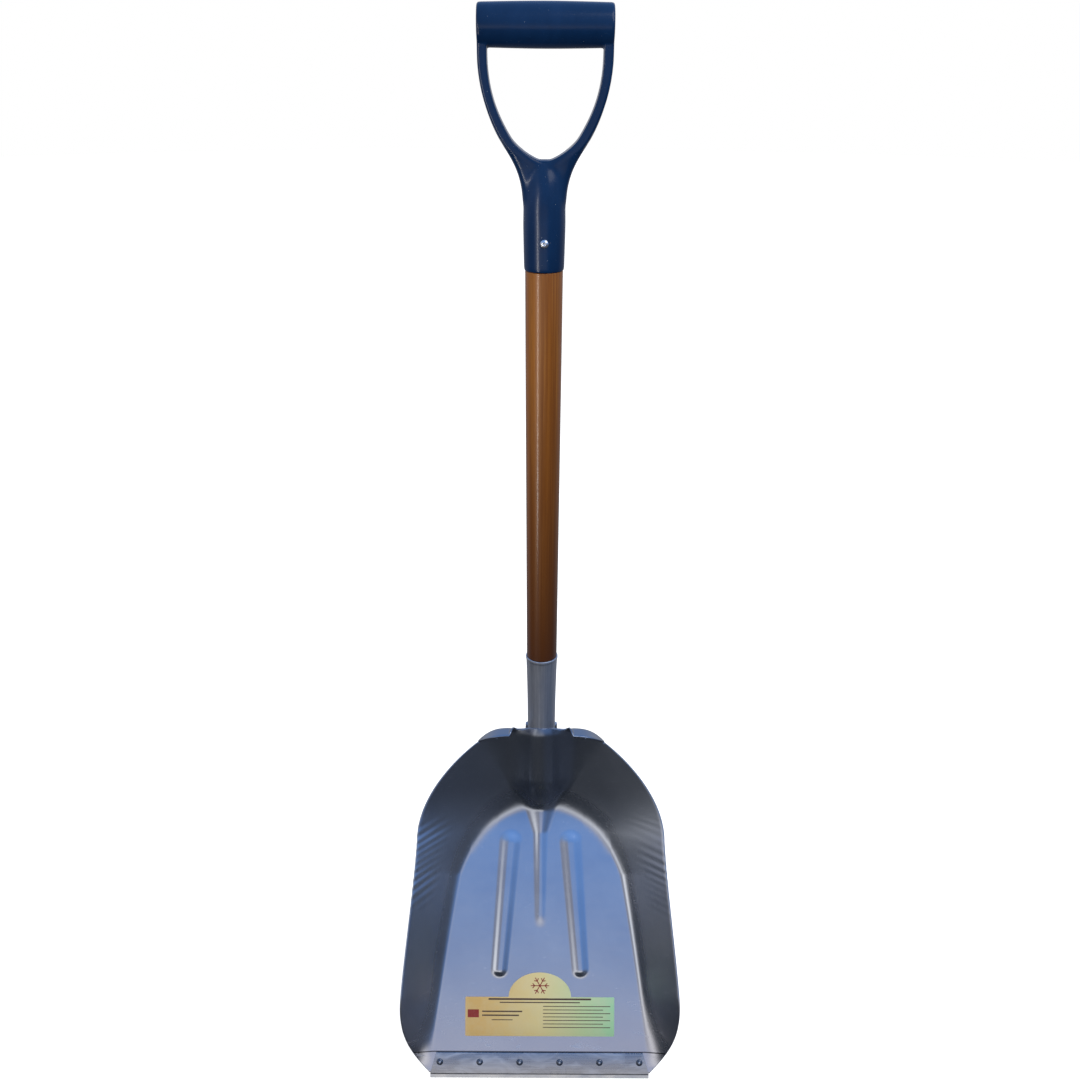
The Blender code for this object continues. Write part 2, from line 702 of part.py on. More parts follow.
def make_label():
    curve = bpy.data.curves.new("label", "CURVE")
    curve.dimensions = "2D"
    curve.fill_mode = "BOTH"
    curve.extrude = LABEL_THICKNESS / 2
    arch = [
        (
            LABEL_ARCH_HALF_WIDTH * math.cos(angle),
            LABEL_TOP + (LABEL_ARCH - LABEL_TOP) * math.sin(angle),
        )
        for angle in np.linspace(0, math.pi, 17)
    ]
    outline = [
        (-LABEL_HALF_WIDTH, LABEL_FOOT),
        (LABEL_HALF_WIDTH, LABEL_FOOT),
        (LABEL_HALF_WIDTH, LABEL_TOP),
        *arch,
        (-LABEL_HALF_WIDTH, LABEL_TOP),
    ]
    spline = curve.splines.new("POLY")
    spline.points.add(len(outline) - 1)
    spline.use_cyclic_u = True
    for point, (u, v) in zip(spline.points, outline):
        point.co = (u, v, 0, 1)
    label = add_object("label", curve, PARTS, BLADE_PLANE)
    label.location = (0, 0, FIT_GAP + LABEL_THICKNESS / 2)
    label = to_mesh(label)
    label.data.materials.append(material("label_paper", (0.85, 0.75, 0.35), 0, 0.45))


clear_scene()
PARTS = new_collection("snow_shovel")
CUTTERS = new_collection("cutters")
HANDLE = add_empty("handle_frame", (0, SHAFT_SETBACK, OVERALL_HEIGHT), 0)
BLADE_PLANE = add_empty(
    "blade_frame",
    (
        0,
        -STRIP_FOOT * math.sin(LIFT) + GROUND_W * math.cos(LIFT),
        -STRIP_FOOT * math.cos(LIFT) - GROUND_W * math.sin(LIFT),
    ),
    math.pi / 2 - LIFT,
)
make_grip()
make_grip_rivet()
make_shaft()
make_socket()
make_socket_screw()
make_blade()
make_wear_strip()
make_strip_rivets()
make_label()
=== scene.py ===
"""Looks for the scoop shovel: sheet-metal blade, moulded grip, lacquered ash, rivets, label and weld.

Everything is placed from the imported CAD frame: +Z up along the shaft, the hollow side of the blade facing -Y.
"""

import math

import bmesh
import bpy
import numpy as np
from mathutils import Matrix, Vector


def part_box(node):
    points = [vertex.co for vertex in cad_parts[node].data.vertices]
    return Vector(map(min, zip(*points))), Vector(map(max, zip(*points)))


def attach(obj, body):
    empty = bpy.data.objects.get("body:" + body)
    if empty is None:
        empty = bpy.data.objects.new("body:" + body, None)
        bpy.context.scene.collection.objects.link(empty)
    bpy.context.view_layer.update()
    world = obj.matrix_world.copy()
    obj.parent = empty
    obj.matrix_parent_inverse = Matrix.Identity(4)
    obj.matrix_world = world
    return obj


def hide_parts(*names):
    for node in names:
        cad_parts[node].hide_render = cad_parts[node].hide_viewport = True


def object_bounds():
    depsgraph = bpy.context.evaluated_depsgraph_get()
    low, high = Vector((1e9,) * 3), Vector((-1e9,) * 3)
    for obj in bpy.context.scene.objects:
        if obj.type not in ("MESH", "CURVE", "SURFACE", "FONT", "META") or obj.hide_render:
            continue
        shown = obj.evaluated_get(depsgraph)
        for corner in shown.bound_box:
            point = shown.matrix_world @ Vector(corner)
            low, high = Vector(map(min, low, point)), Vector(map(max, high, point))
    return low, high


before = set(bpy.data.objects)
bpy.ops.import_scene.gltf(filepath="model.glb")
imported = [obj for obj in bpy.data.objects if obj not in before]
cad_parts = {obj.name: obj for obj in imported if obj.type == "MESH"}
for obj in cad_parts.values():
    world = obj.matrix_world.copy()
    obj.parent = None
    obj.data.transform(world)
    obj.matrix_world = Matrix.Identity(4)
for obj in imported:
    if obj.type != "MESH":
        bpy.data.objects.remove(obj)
cad_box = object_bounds()

MM = 0.001
FIT_GAP = 0.3 * MM
SHARP_DEGREES = 35

# ---------------------------------------------------------------- places read from the frame

GRIP_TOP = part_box("d_grip")[1].z
SHAFT_Y = (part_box("shaft")[0].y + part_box("shaft")[1].y) / 2
LIFT = math.radians(23.5)  # angle between the shaft and the blade's floor

# Blade, in the plane of its floor: u across, v up from the ground edge, w towards the hollow side
SHEET = 2 * MM
BLADE_EDGE = 2 * MM
BLADE_TOP = 434.3 * MM
SHOULDER = (75 * MM, 424.5 * MM)
SIDE_BEND = (148 * MM, 305 * MM)
WIDEST = (168.5 * MM, 85 * MM)
TIP_CORNER = (137 * MM, BLADE_EDGE)
SIDE_HEIGHT = 45 * MM
BACK_EXTRA_HEIGHT = 2.3 * MM
SIDE_FADE = (8 * MM, 117 * MM)
WALL_FILLET = 0.16
FLOOR_TOP = 330 * MM
FLOOR_SHOULDER = (98 * MM, 250 * MM)
FLOOR_CORNER = (132 * MM, 30 * MM)

FROG_RADIUS = 19.3 * MM
FROG_FLANKS = (54, 46)  # steepness in degrees, at its foot and at the top edge
FROG_BLENDS = (15 * MM, 20 * MM)
FROG_NOSE = 338 * MM  # where the crest, dropping from the shaft's line, meets the floor
FROG_NOSE_SLOPE = 1.3
FROG_NOSE_BEND = 8 * MM
FROG_RADIUS_BAND = (315 * MM, 360 * MM)
FROG_FOOT_RADIUS = 6.5 * MM
# A low ridge that runs on below the frog and widens into it
KEEL = (183 * MM, 303 * MM, 345 * MM)
KEEL_HALF_WIDTHS = (8 * MM, 10 * MM, 26 * MM)
KEEL_HEIGHTS = (0.9 * MM, 2.6 * MM, 6 * MM)
KEEL_END = 16 * MM

RIB_TOP = (37.3 * MM, 291 * MM)
RIB_FOOT = (50.4 * MM, 131 * MM)
RIB_HALF_WIDTHS = (11.5 * MM, 15 * MM)  # at the foot and at the top
RIB_HEIGHTS = (2.7 * MM, 2.7 * MM)
RIB_CREST = 0.12  # share of the half width that is nearly flat
RIB_END_STEEPNESS = 1.1

STEP_INNER = 29 * MM
STEP_FADE = 48 * MM
STEP_RAMP = 9 * MM
STEP_BEND_LENGTH = 6.3 * MM
STEP_LENGTH = 13 * MM
STEP_RISE = 5 * MM
STEP_ROOT = 400 * MM
PLAIN_LIP = 1 * MM
NECK_RISE = 3.5 * MM  # the sheet climbs the socket and closes on it
NECK = (16 * MM, 31 * MM)
NECK_RADIUS = 15.4 * MM

WRINKLE_BAND = (205 * MM, 335 * MM)
WRINKLE_PITCH = 9.5 * MM
WRINKLE_HEIGHTS = (0.42 * MM, 0.26 * MM)  # on the -X and +X walls
WRINKLE_SLANTS = (0.5, 0.25)  # on the -X and +X walls
WRINKLE_DRIFT = 2.6 * MM
WRINKLE_WALL_HEIGHTS = (14 * MM, 34 * MM)
WRINKLE_WALL_PLACES = (85 * MM, 120 * MM)

# Where the sheet's points gather: beside each rib, and inside and outside the floor's crease
RIB_REACH = 16 * MM
CREASE_REACH = (5 * MM, 10 * MM)
CREASE_TOP = 265 * MM
RIM_MARGIN = 18 * MM
BLADE_ROWS = 230

# Wear strip and rivets
STRIP_SHEET = 1.2 * MM
STRIP_TOP = 27 * MM
STRIP_FOOT = -5 * MM
STRIP_HALF_WIDTH = 136.5 * MM
STRIP_TAPER = 0.28
STRIP_BACK = 0.3 * MM
STRIP_SHADOW_LINE = 27.9 * MM  # painted shadow line along the strip's top edge
STRIP_FRONT = STRIP_BACK + STRIP_SHEET
LIP_FRONT = -0.5 * MM
LIP_BACK = LIP_FRONT - STRIP_SHEET
GROUND_W = (LIP_FRONT + LIP_BACK) / 2
RIVET_COUNT = 6
RIVET_SPACING = 49.8 * MM
RIVET_ROW = 15.5 * MM
RIVET_HOLE_RADIUS = 2.3 * MM

# Label
LABEL_HALF_WIDTH = 93 * MM
LABEL_FOOT = 47.6 * MM
LABEL_TOP = 96.7 * MM
LABEL_ARCH = 127.5 * MM
LABEL_ARCH_HALF_WIDTH = 39 * MM

# Handle, as drops below the top of the grip
BAR_HALF_LENGTH = 63.2 * MM
BAR_DROP = 20.3 * MM
GRIP_RIVET_DROP = 214 * MM
GRIP_END = 242.5 * MM
SOCKET_MOUTH = 684 * MM
SOCKET_SCREW_DROP = 716 * MM
SOCKET_WAIST = 745 * MM
WELD_SPAN = (778 * MM, 850 * MM)
WELD_PLACE = (16.4 * MM, 3.4 * MM)  # beside the socket's axis and behind it
WELD_RADIUS = 2.3 * MM
WELD_STEPS = 110
WELD_SIDES = 14
SHAFT_END = 838 * MM
SOCKET_END = 852 * MM

# Skin of the moulded grip
SKIN_VOXEL = 0.85 * MM
SKIN_PASSES = 9
THROAT_START = (128 * MM, 148 * MM)
THROAT_STOP = (185 * MM, 200 * MM)
THROAT_PASSES = 150

# Camera
LENS = 36.72
PITCH = math.radians(24)  # downwards
ROLL = math.radians(0.29)
CAMERA_OFFSET = (-0.0027, -1.1165, -0.041)  # from the top of the grip

UP = (math.cos(LIFT), math.sin(LIFT))  # along the shaft, as (v, w)
FORWARD = (-math.sin(LIFT), math.cos(LIFT))  # away from the shaft, as (v, w)
AXIS_DROP = SHAFT_Y + STRIP_FOOT * UP[1] - GROUND_W * UP[0]

HANDLE = Matrix.Translation((0, SHAFT_Y, GRIP_TOP))
BLADE_PLANE = Matrix.Translation(
    (
        0,
        -STRIP_FOOT * math.sin(LIFT) + GROUND_W * math.cos(LIFT),
        -STRIP_FOOT * math.cos(LIFT) - GROUND_W * math.sin(LIFT),
    )
) @ Matrix.Rotation(math.pi / 2 - LIFT, 4, "X")


# ---------------------------------------------------------------- mesh helpers


def place(piece, matrix, finish, slot, *nodes):
    """Puts a finished piece in the row frame, gives it its material, hides the CAD nodes it stands in for, and
    lets it ride.
    """
    piece.data.transform(matrix)
    piece.matrix_world = Matrix.Identity(4)
    piece.data.materials.clear()
    piece.data.materials.append(finish)
    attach(piece, "root")
    if nodes:
        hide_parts(*nodes)
    return piece


def object_from(name, bm, sharp_degrees=SHARP_DEGREES):
    bmesh.ops.recalc_face_normals(bm, faces=bm.faces)
    mesh = bpy.data.meshes.new(name)
    bm.to_mesh(mesh)
    bm.free()
    mesh.shade_smooth()
    mesh.set_sharp_from_angle(angle=math.radians(sharp_degrees))
    made = bpy.data.objects.new(name, mesh)
    bpy.context.scene.collection.objects.link(made)
    return made


def rounded(points, steps=5, closed=False):
    """A polyline of (x, y, radius) points, with each corner turned into an arc-like curve."""
    count = len(points)
    made = []
    for i, (x, y, radius) in enumerate(points):
        here = np.array((x, y))
        ends = not closed and i in (0, count - 1)
        if ends or radius == 0:
            made.append(here)
            continue
        before = np.array(points[i - 1][:2]) - here
        after = np.array(points[(i + 1) % count][:2]) - here
        reach = min(radius, 0.49 * np.linalg.norm(before), 0.49 * np.linalg.norm(after))
        start = here + before / np.linalg.norm(before) * reach
        end = here + after / np.linalg.norm(after) * reach
        for t in np.linspace(0, 1, steps):
            made.append((1 - t) ** 2 * start + 2 * t * (1 - t) * here + t * t * end)
    return made


def lathe(name, profile, segments=96, closed=False):
    """A turned piece about Z. Profile points are (radius, height)."""
    bm = bmesh.new()
    angles = np.linspace(0, 2 * math.pi, segments, endpoint=False)
    rings = []
    for radius, height in profile:
        if radius < 0.01 * MM:
            rings.append([bm.verts.new((0, 0, height))])
        else:
            rings.append(
                [bm.verts.new((radius * math.cos(a), radius * math.sin(a), height)) for a in angles]
            )
    following = rings[1:] + rings[:1] if closed else rings[1:]
    for a, b in zip(rings, following):
        for i in range(segments):
            j = (i + 1) % segments
            corners = [a[i % len(a)], a[j % len(a)], b[j % len(b)], b[i % len(b)]]
            bm.faces.new(list(dict.fromkeys(corners)))
    return object_from(name, bm)


def prism(name, outline, low, high, bevel=0.0):
    """A flat outline of (x, y) points between two heights, with its edges rounded by a bevel."""
    bm = bmesh.new()
    verts = [bm.verts.new((x, y, low)) for x, y in outline]
    base = bm.faces.new(verts)
    top = bmesh.ops.extrude_face_region(bm, geom=[base])
    lifted = [g for g in top["geom"] if isinstance(g, bmesh.types.BMVert)]
    bmesh.ops.translate(bm, verts=lifted, vec=(0, 0, high - low))
    if bevel:
        rim = [e for e in bm.edges if abs(e.verts[0].co.z - e.verts[1].co.z) < 1e-7]
        bmesh.ops.bevel(bm, geom=rim, offset=bevel, segments=2, profile=0.5, affect="EDGES")
    return object_from(name, bm)


def boolean(target, other, operation):
    """Applies an exact boolean and drops the cutter."""
    step = target.modifiers.new(operation.lower(), "BOOLEAN")
    step.operation = operation
    step.object = other
    step.solver = "EXACT"
    apply_modifiers(target)
    target.data.shade_smooth()
    target.data.set_sharp_from_angle(angle=math.radians(SHARP_DEGREES))
    bpy.data.objects.remove(other)


def apply_modifiers(piece):
    bpy.context.view_layer.update()
    evaluated = piece.evaluated_get(bpy.context.evaluated_depsgraph_get())
    mesh = bpy.data.meshes.new_from_object(evaluated)
    piece.modifiers.clear()
    piece.data = mesh
    mesh.name = piece.name


def ramp(value, start, end):
    """0 before start, 1 after end, smooth between them."""
    x = np.clip((value - start) / (end - start), 0, 1)
    return x * x * (3 - 2 * x)


def bezier(start, handle_a, handle_b, end, count):
    t = np.linspace(0, 1, count)[:, None]
    a, b, c, d = (np.array(p) for p in (start, handle_a, handle_b, end))
    return (1 - t) ** 3 * a + 3 * (1 - t) ** 2 * t * b + 3 * (1 - t) * t * t * c + t**3 * d


# ---------------------------------------------------------------- node helpers


class Finish:
    """A procedural material under construction. Its coordinates are metres in the given place."""

    def __init__(self, name, place, **constants):
        self.material = bpy.data.materials.new(name)
        self.material.use_nodes = True
        self.tree = self.material.node_tree
        self.shader = self.tree.nodes["Principled BSDF"]
        for socket, value in constants.items():
            self.shader.inputs[socket.replace("_", " ")].default_value = value
        local = self.tree.nodes.new("ShaderNodeMapping")
        local.vector_type = "TEXTURE"
        local.inputs["Location"].default_value = place.to_translation()
        local.inputs["Rotation"].default_value = place.to_euler()
        world = self.tree.nodes.new("ShaderNodeTexCoord").outputs["Object"]
        self.tree.links.new(world, local.inputs["Vector"])
        self.coords = local.outputs["Vector"]
        self.last_normal = None

    def node(self, kind, **inputs):
        made = self.tree.nodes.new(kind)
        for name, value in inputs.items():
            self.join(value, made.inputs[name.replace("_", " ")])
        return made

    def join(self, value, socket):
        if isinstance(value, bpy.types.NodeSocket):
            self.tree.links.new(value, socket)
        else:
            socket.default_value = value

    def axis(self, letter):
        split = self.node("ShaderNodeSeparateXYZ", Vector=self.coords)
        return split.outputs[letter]

    def stretched(self, scale):
        made = self.node("ShaderNodeMapping", Vector=self.coords)
        made.inputs["Scale"].default_value = scale
        return made.outputs["Vector"]

    def noise(self, stretch=(1, 1, 1), scale=1.0, detail=3.0, roughness=0.5, distortion=0.0):
        """Noise from 0 to 1. The scale is in features per metre, times the stretch on each axis."""
        made = self.node(
            "ShaderNodeTexNoise",
            Vector=self.stretched(stretch),
            Scale=scale,
            Detail=detail,
            Roughness=roughness,
            Distortion=distortion,
        )
        return made.outputs["Fac"]

    def fit(self, value, from_low, from_high, to_low=0.0, to_high=1.0, smooth=False):
        made = self.node(
            "ShaderNodeMapRange",
            Value=value,
            From_Min=from_low,
            From_Max=from_high,
            To_Min=to_low,
            To_Max=to_high,
        )
        made.interpolation_type = "SMOOTHSTEP" if smooth else "LINEAR"
        return made.outputs["Result"]

    def maths(self, operation, a, b):
        made = self.tree.nodes.new("ShaderNodeMath")
        made.operation = operation
        self.join(a, made.inputs[0])
        self.join(b, made.inputs[1])
        return made.outputs["Value"]

    def mix(self, share, a, b):
        """Colour a where share is 0 and colour b where it is 1."""
        made = self.tree.nodes.new("ShaderNodeMix")
        made.data_type = "RGBA"
        self.join(share, made.inputs["Factor"])
        for value, socket in ((a, made.inputs[6]), (b, made.inputs[7])):
            self.join((*value, 1) if isinstance(value, tuple) else value, socket)
        return made.outputs[2]

    def bump(self, height, distance, strength=1.0):
        made = self.node("ShaderNodeBump", Height=height, Distance=distance, Strength=strength)
        if self.last_normal:
            self.join(self.last_normal, made.inputs["Normal"])
        self.last_normal = made.outputs["Normal"]
        self.join(self.last_normal, self.shader.inputs["Normal"])

    def colour(self, value):
        self.join(value, self.shader.inputs["Base Color"])

    def roughness(self, value):
        self.join(value, self.shader.inputs["Roughness"])


def blade_aluminium():
    """Pressed sheet: bluish metal, partly the aluminium's own tone and partly a painted sky reflection; rougher
    walls and back wall darkened as a painted reflection of dark ground; fine drawing lines, scuffs, and a
    painted shadow line along the strip's top edge.
    """
    made = Finish("blade_aluminium", BLADE_PLANE, Metallic=1.0)
    height = made.axis("Z")
    up_blade = made.axis("Y")
    cloud = made.noise(scale=9, detail=4, roughness=0.6)
    # bluish metal tone: partly the aluminium's own, partly a painted reflection of blue sky
    metal = made.mix(made.fit(cloud, 0.3, 0.7), (0.58, 0.63, 0.74), (0.7, 0.74, 0.82))
    # painted reflection: the side walls are darkened for the dark ground they mirror
    wall = made.fit(height, 3.4 * MM, 14 * MM, smooth=True)
    metal = made.mix(made.maths("MULTIPLY", wall, 0.5), metal, (0.36, 0.4, 0.47))
    # painted reflection: the back wall near the top of the blade is darkened further for the dark ground it
    # mirrors
    back = made.fit(up_blade, 300 * MM, 370 * MM, smooth=True)
    metal = made.mix(made.maths("MULTIPLY", back, 0.68), metal, (0.2, 0.22, 0.26))
    low_floor = made.fit(up_blade, 150 * MM, 20 * MM, smooth=True)
    metal = made.mix(made.maths("MULTIPLY", low_floor, 0.5), metal, (0.74, 0.71, 0.76))
    scratch = made.noise((140, 1400, 300), detail=2, distortion=0.4)
    scratches = made.fit(scratch, 0.66, 0.74)
    smear = made.noise((26, 90, 60), detail=5, roughness=0.65, distortion=0.8)
    smears = made.maths("MULTIPLY", made.fit(smear, 0.6, 0.68), low_floor)
    metal = made.mix(made.maths("MULTIPLY", smears, 0.5), metal, (0.93, 0.93, 0.96))
    metal = made.mix(made.maths("MULTIPLY", scratches, 0.14), metal, (0.9, 0.92, 0.95))
    # painted shadow: a dark line along the strip's top edge, where the strip meets the sheet
    from_shadow_line = made.maths("ABSOLUTE", made.maths("SUBTRACT", up_blade, STRIP_SHADOW_LINE), 0)
    shadow_line = made.fit(from_shadow_line, 1.1 * MM, 0.5 * MM)
    metal = made.mix(made.maths("MULTIPLY", shadow_line, 0.85), metal, (0.05, 0.05, 0.06))
    made.colour(metal)
    base = made.fit(cloud, 0.25, 0.75, 0.15, 0.23)
    base = made.maths("ADD", base, made.maths("MULTIPLY", wall, 0.14))
    worn = made.maths("ADD", base, made.maths("MULTIPLY", smears, 0.25))
    made.roughness(made.maths("ADD", worn, made.maths("MULTIPLY", scratches, 0.08)))
    made.bump(made.noise((700, 50, 300), detail=2), 0.015 * MM, 0.5)
    made.bump(made.noise(scale=38, detail=2, roughness=0.5), 0.25 * MM, 0.3)
    made.bump(scratches, 0.012 * MM, 0.4)
    return made.material


def socket_aluminium():
    """Matte, drawn tube with vertical streaks."""
    made = Finish("socket_aluminium", HANDLE, Metallic=1.0)
    streak = made.noise((420, 420, 7), detail=4, roughness=0.6)
    blotch = made.noise((40, 40, 18), detail=4, roughness=0.6)
    metal = made.mix(made.fit(streak, 0.3, 0.7), (0.46, 0.48, 0.53), (0.66, 0.68, 0.73))
    metal = made.mix(made.fit(blotch, 0.45, 0.75, 0, 0.5), metal, (0.34, 0.36, 0.41))
    made.colour(metal)
    made.roughness(made.fit(blotch, 0.2, 0.8, 0.4, 0.58))
    made.bump(streak, 0.1 * MM, 0.5)
    made.bump(made.noise(scale=900, detail=2), 0.05 * MM, 0.4)
    return made.material


def weld_metal():
    made = Finish("weld_aluminium", HANDLE, Metallic=1.0)
    blotch = made.noise(scale=160, detail=4, roughness=0.65)
    made.colour(made.mix(made.fit(blotch, 0.3, 0.7), (0.34, 0.35, 0.38), (0.62, 0.63, 0.66)))
    made.roughness(made.fit(blotch, 0.2, 0.8, 0.35, 0.6))
    made.bump(made.noise(scale=1500, detail=2), 0.08 * MM, 0.5)
    return made.material


def ash_wood():
    """Clear-lacquered ash: long straight grain, dark pores, warmer at the top and darker at the foot."""
    made = Finish("ash_wood", HANDLE, Coat_Weight=0.4, Coat_Roughness=0.16, Specular_IOR_Level=0.3)
    band = made.noise((95, 95, 1.3), detail=3, roughness=0.55, distortion=0.3)
    fine = made.noise((520, 520, 5), detail=4, roughness=0.65)
    pore = made.noise((1500, 1500, 26), detail=2, roughness=0.6)
    wood = made.mix(made.fit(band, 0.35, 0.65), (0.19, 0.058, 0.006), (0.34, 0.118, 0.0135))
    wood = made.mix(made.fit(fine, 0.45, 0.72, 0, 0.55), wood, (0.46, 0.185, 0.028))
    pores = made.maths("MULTIPLY", made.fit(pore, 0.6, 0.72), made.fit(band, 0.3, 0.6))
    wood = made.mix(made.maths("MULTIPLY", pores, 0.75), wood, (0.06, 0.021, 0.007))
    foot = made.fit(made.axis("Z"), -330 * MM, -690 * MM, 0, 1)
    made.colour(made.mix(foot, wood, (0.066, 0.019, 0.004)))
    made.roughness(made.fit(fine, 0.3, 0.7, 0.32, 0.46))
    made.bump(fine, 0.05 * MM, 0.4)
    made.bump(pores, -0.06 * MM, 0.6)
    return made.material


def navy_plastic():
    """Moulded plastic: slight flow marks, orange peel, fine handling scratches and a few pale specks."""
    made = Finish("navy_plastic", HANDLE, Specular_IOR_Level=0.26, Coat_Weight=0.05, Coat_Roughness=0.12)
    flow = made.noise((22, 22, 9), detail=4, roughness=0.6, distortion=0.6)
    plastic = made.mix(made.fit(flow, 0.3, 0.7), (0.0025, 0.02, 0.072), (0.004, 0.03, 0.105))
    scratch = made.noise((260, 260, 2300), detail=2, distortion=0.5)
    scratches = made.fit(scratch, 0.7, 0.76)
    plastic = made.mix(made.maths("MULTIPLY", scratches, 0.25), plastic, (0.05, 0.1, 0.2))
    speck = made.noise(scale=620, detail=1)
    specks = made.fit(speck, 0.79, 0.81)
    made.colour(made.mix(specks, plastic, (0.3, 0.36, 0.44)))
    made.roughness(
        made.maths("ADD", made.fit(flow, 0.3, 0.7, 0.2, 0.28), made.maths("MULTIPLY", scratches, 0.15))
    )
    made.bump(made.noise(scale=420, detail=2), 0.05 * MM, 0.35)
    made.bump(flow, 0.4 * MM, 0.25)
    return made.material


def stainless_steel():
    """Rolled strip: fine lines along it, soft handling blotches, a painted shadow band at the joggle and a
    brighter worn lip.
    """
    made = Finish("stainless_steel", BLADE_PLANE, Metallic=1.0)
    line = made.noise((14, 2600, 900), detail=3, roughness=0.6)
    blotch = made.noise((26, 60, 40), detail=4, roughness=0.6, distortion=0.8)
    steel = made.mix(made.fit(line, 0.3, 0.7), (0.36, 0.36, 0.39), (0.6, 0.6, 0.62))
    steel = made.mix(made.fit(blotch, 0.45, 0.7, 0, 0.8), steel, (0.9, 0.88, 0.88))
    # painted shadow: a dark band on the joggle and the top of the lip, below the end of the strip's upper layer
    steel = made.mix(made.fit(made.axis("Z"), 0.9 * MM, 0.2 * MM), steel, (0.06, 0.06, 0.07))
    worn = made.fit(made.axis("Y"), -0.4 * MM, -1.4 * MM)
    made.colour(made.mix(worn, steel, (0.86, 0.85, 0.84)))
    made.roughness(made.fit(blotch, 0.3, 0.7, 0.22, 0.38))
    made.bump(line, 0.03 * MM, 0.5)
    made.bump(blotch, 0.3 * MM, 0.4)
    return made.material


def fastener_metal(name, low, high, roughness):
    """Small formed or plated metal: mottled colour and hammered bump."""
    made = Finish(name, HANDLE, Metallic=1.0)
    mottle = made.noise(scale=700, detail=3, roughness=0.6)
    made.colour(made.mix(made.fit(mottle, 0.35, 0.65), low, high))
    made.roughness(made.fit(mottle, 0.3, 0.7, roughness - 0.06, roughness + 0.1))
    made.bump(mottle, 0.05 * MM, 0.5)
    return made.material


def label_film():
    """Gloss sticker: gold that turns pale green across, with faint print mottle and fine dark grain."""
    made = Finish("label_film", BLADE_PLANE, Coat_Weight=0.6, Coat_Roughness=0.12)
    across = made.axis("X")
    share = made.fit(across, -75 * MM, 90 * MM)
    ink = made.mix(made.fit(share, 0, 0.45), (0.93, 0.62, 0.22), (0.97, 0.83, 0.4))
    ink = made.mix(made.fit(share, 0.45, 1), ink, (0.5, 0.92, 0.56))
    mottle = made.noise(scale=45, detail=4, roughness=0.6)
    ink = made.mix(made.fit(mottle, 0.4, 0.75, 0, 0.35), ink, (0.93, 0.88, 0.62))
    grain = made.noise(scale=1800, detail=1)
    made.colour(made.mix(made.fit(grain, 0.62, 0.8, 0, 0.12), ink, (0.4, 0.3, 0.12)))
    made.roughness(made.fit(mottle, 0.3, 0.7, 0.28, 0.42))
    made.bump(made.noise(scale=30, detail=2), 0.3 * MM, 0.2)
    return made.material


def print_ink(name, colour):
    made = Finish(name, BLADE_PLANE, Coat_Weight=0.4, Coat_Roughness=0.15)
    wear = made.noise(scale=900, detail=3, roughness=0.7)
    lighter = tuple(0.6 * c + 0.25 for c in colour)
    made.colour(made.mix(made.fit(wear, 0.55, 0.75, 0, 0.5), colour, lighter))
    made.roughness(made.fit(wear, 0.3, 0.7, 0.35, 0.5))
    return made.material


# ---------------------------------------------------------------- blade


def rim_curve():
    """The side rim from the shoulder down to the tip corner."""
    upper = bezier(SHOULDER, (100 * MM, 406 * MM), (148 * MM, 358 * MM), SIDE_BEND, 60)
    side = bezier(SIDE_BEND, (151 * MM, 245 * MM), (168.5 * MM, 130 * MM), WIDEST, 60)
    corner = bezier(WIDEST, (168.5 * MM, 40 * MM), (157 * MM, 22 * MM), TIP_CORNER, 60)
    return np.vstack([upper, side[1:], corner[1:]])


def floor_curve():
    """Half of the outline of the flat floor, from the middle of its top to the ground edge."""
    top = bezier((0, FLOOR_TOP), (42 * MM, FLOOR_TOP), (80 * MM, 300 * MM), FLOOR_SHOULDER, 60)
    side = bezier(FLOOR_SHOULDER, (107 * MM, 205 * MM), (126 * MM, 90 * MM), FLOOR_CORNER, 60)
    below = np.array([(FLOOR_CORNER[0], -20 * MM)])
    return np.vstack([top, side[1:], below])


def top_edge(u):
    """Height in the floor's plane of the blade's top edge, before its lip."""
    return SHOULDER[1] + (BLADE_TOP - SHOULDER[1]) * (1 - (u / SHOULDER[0]) ** 5)


def distance(points, line):
    """Shortest distance from each point to a polyline."""
    start, end = line[:-1], line[1:]
    along = end - start
    reach = points[:, None, :] - start[None]
    part = np.clip((reach * along).sum(2) / (along**2).sum(1), 0, 1)
    return np.linalg.norm(reach - part[..., None] * along, axis=2).min(1)


def soft_max(a, b, blend):
    """The larger of two heights, with a fillet where they meet."""
    overlap = np.maximum(blend - np.abs(a - b), 0) / blend
    return np.maximum(a, b) + overlap**2 * blend / 4


def wall_height(u, v):
    points = np.column_stack([u, v])
    across = np.linspace(0, SHOULDER[0], 30)[:-1]
    rim = np.vstack([np.column_stack([across, top_edge(across)]), rim_curve()])
    floor = floor_curve()
    floor_edge = np.interp(v, floor[::-1, 1], floor[::-1, 0])
    outside = (v > FLOOR_TOP) | (u > floor_edge)
    from_floor = np.where(outside, distance(points, floor), 0)
    share = from_floor / (from_floor + distance(points, rim))
    slope = np.sqrt(share**2 + WALL_FILLET**2) - WALL_FILLET
    slope = slope / (math.sqrt(1 + WALL_FILLET**2) - WALL_FILLET)
    full = SIDE_HEIGHT * ramp(v, *SIDE_FADE) + BACK_EXTRA_HEIGHT * ramp(v, SIDE_BEND[1], BLADE_TOP)
    return full * slope


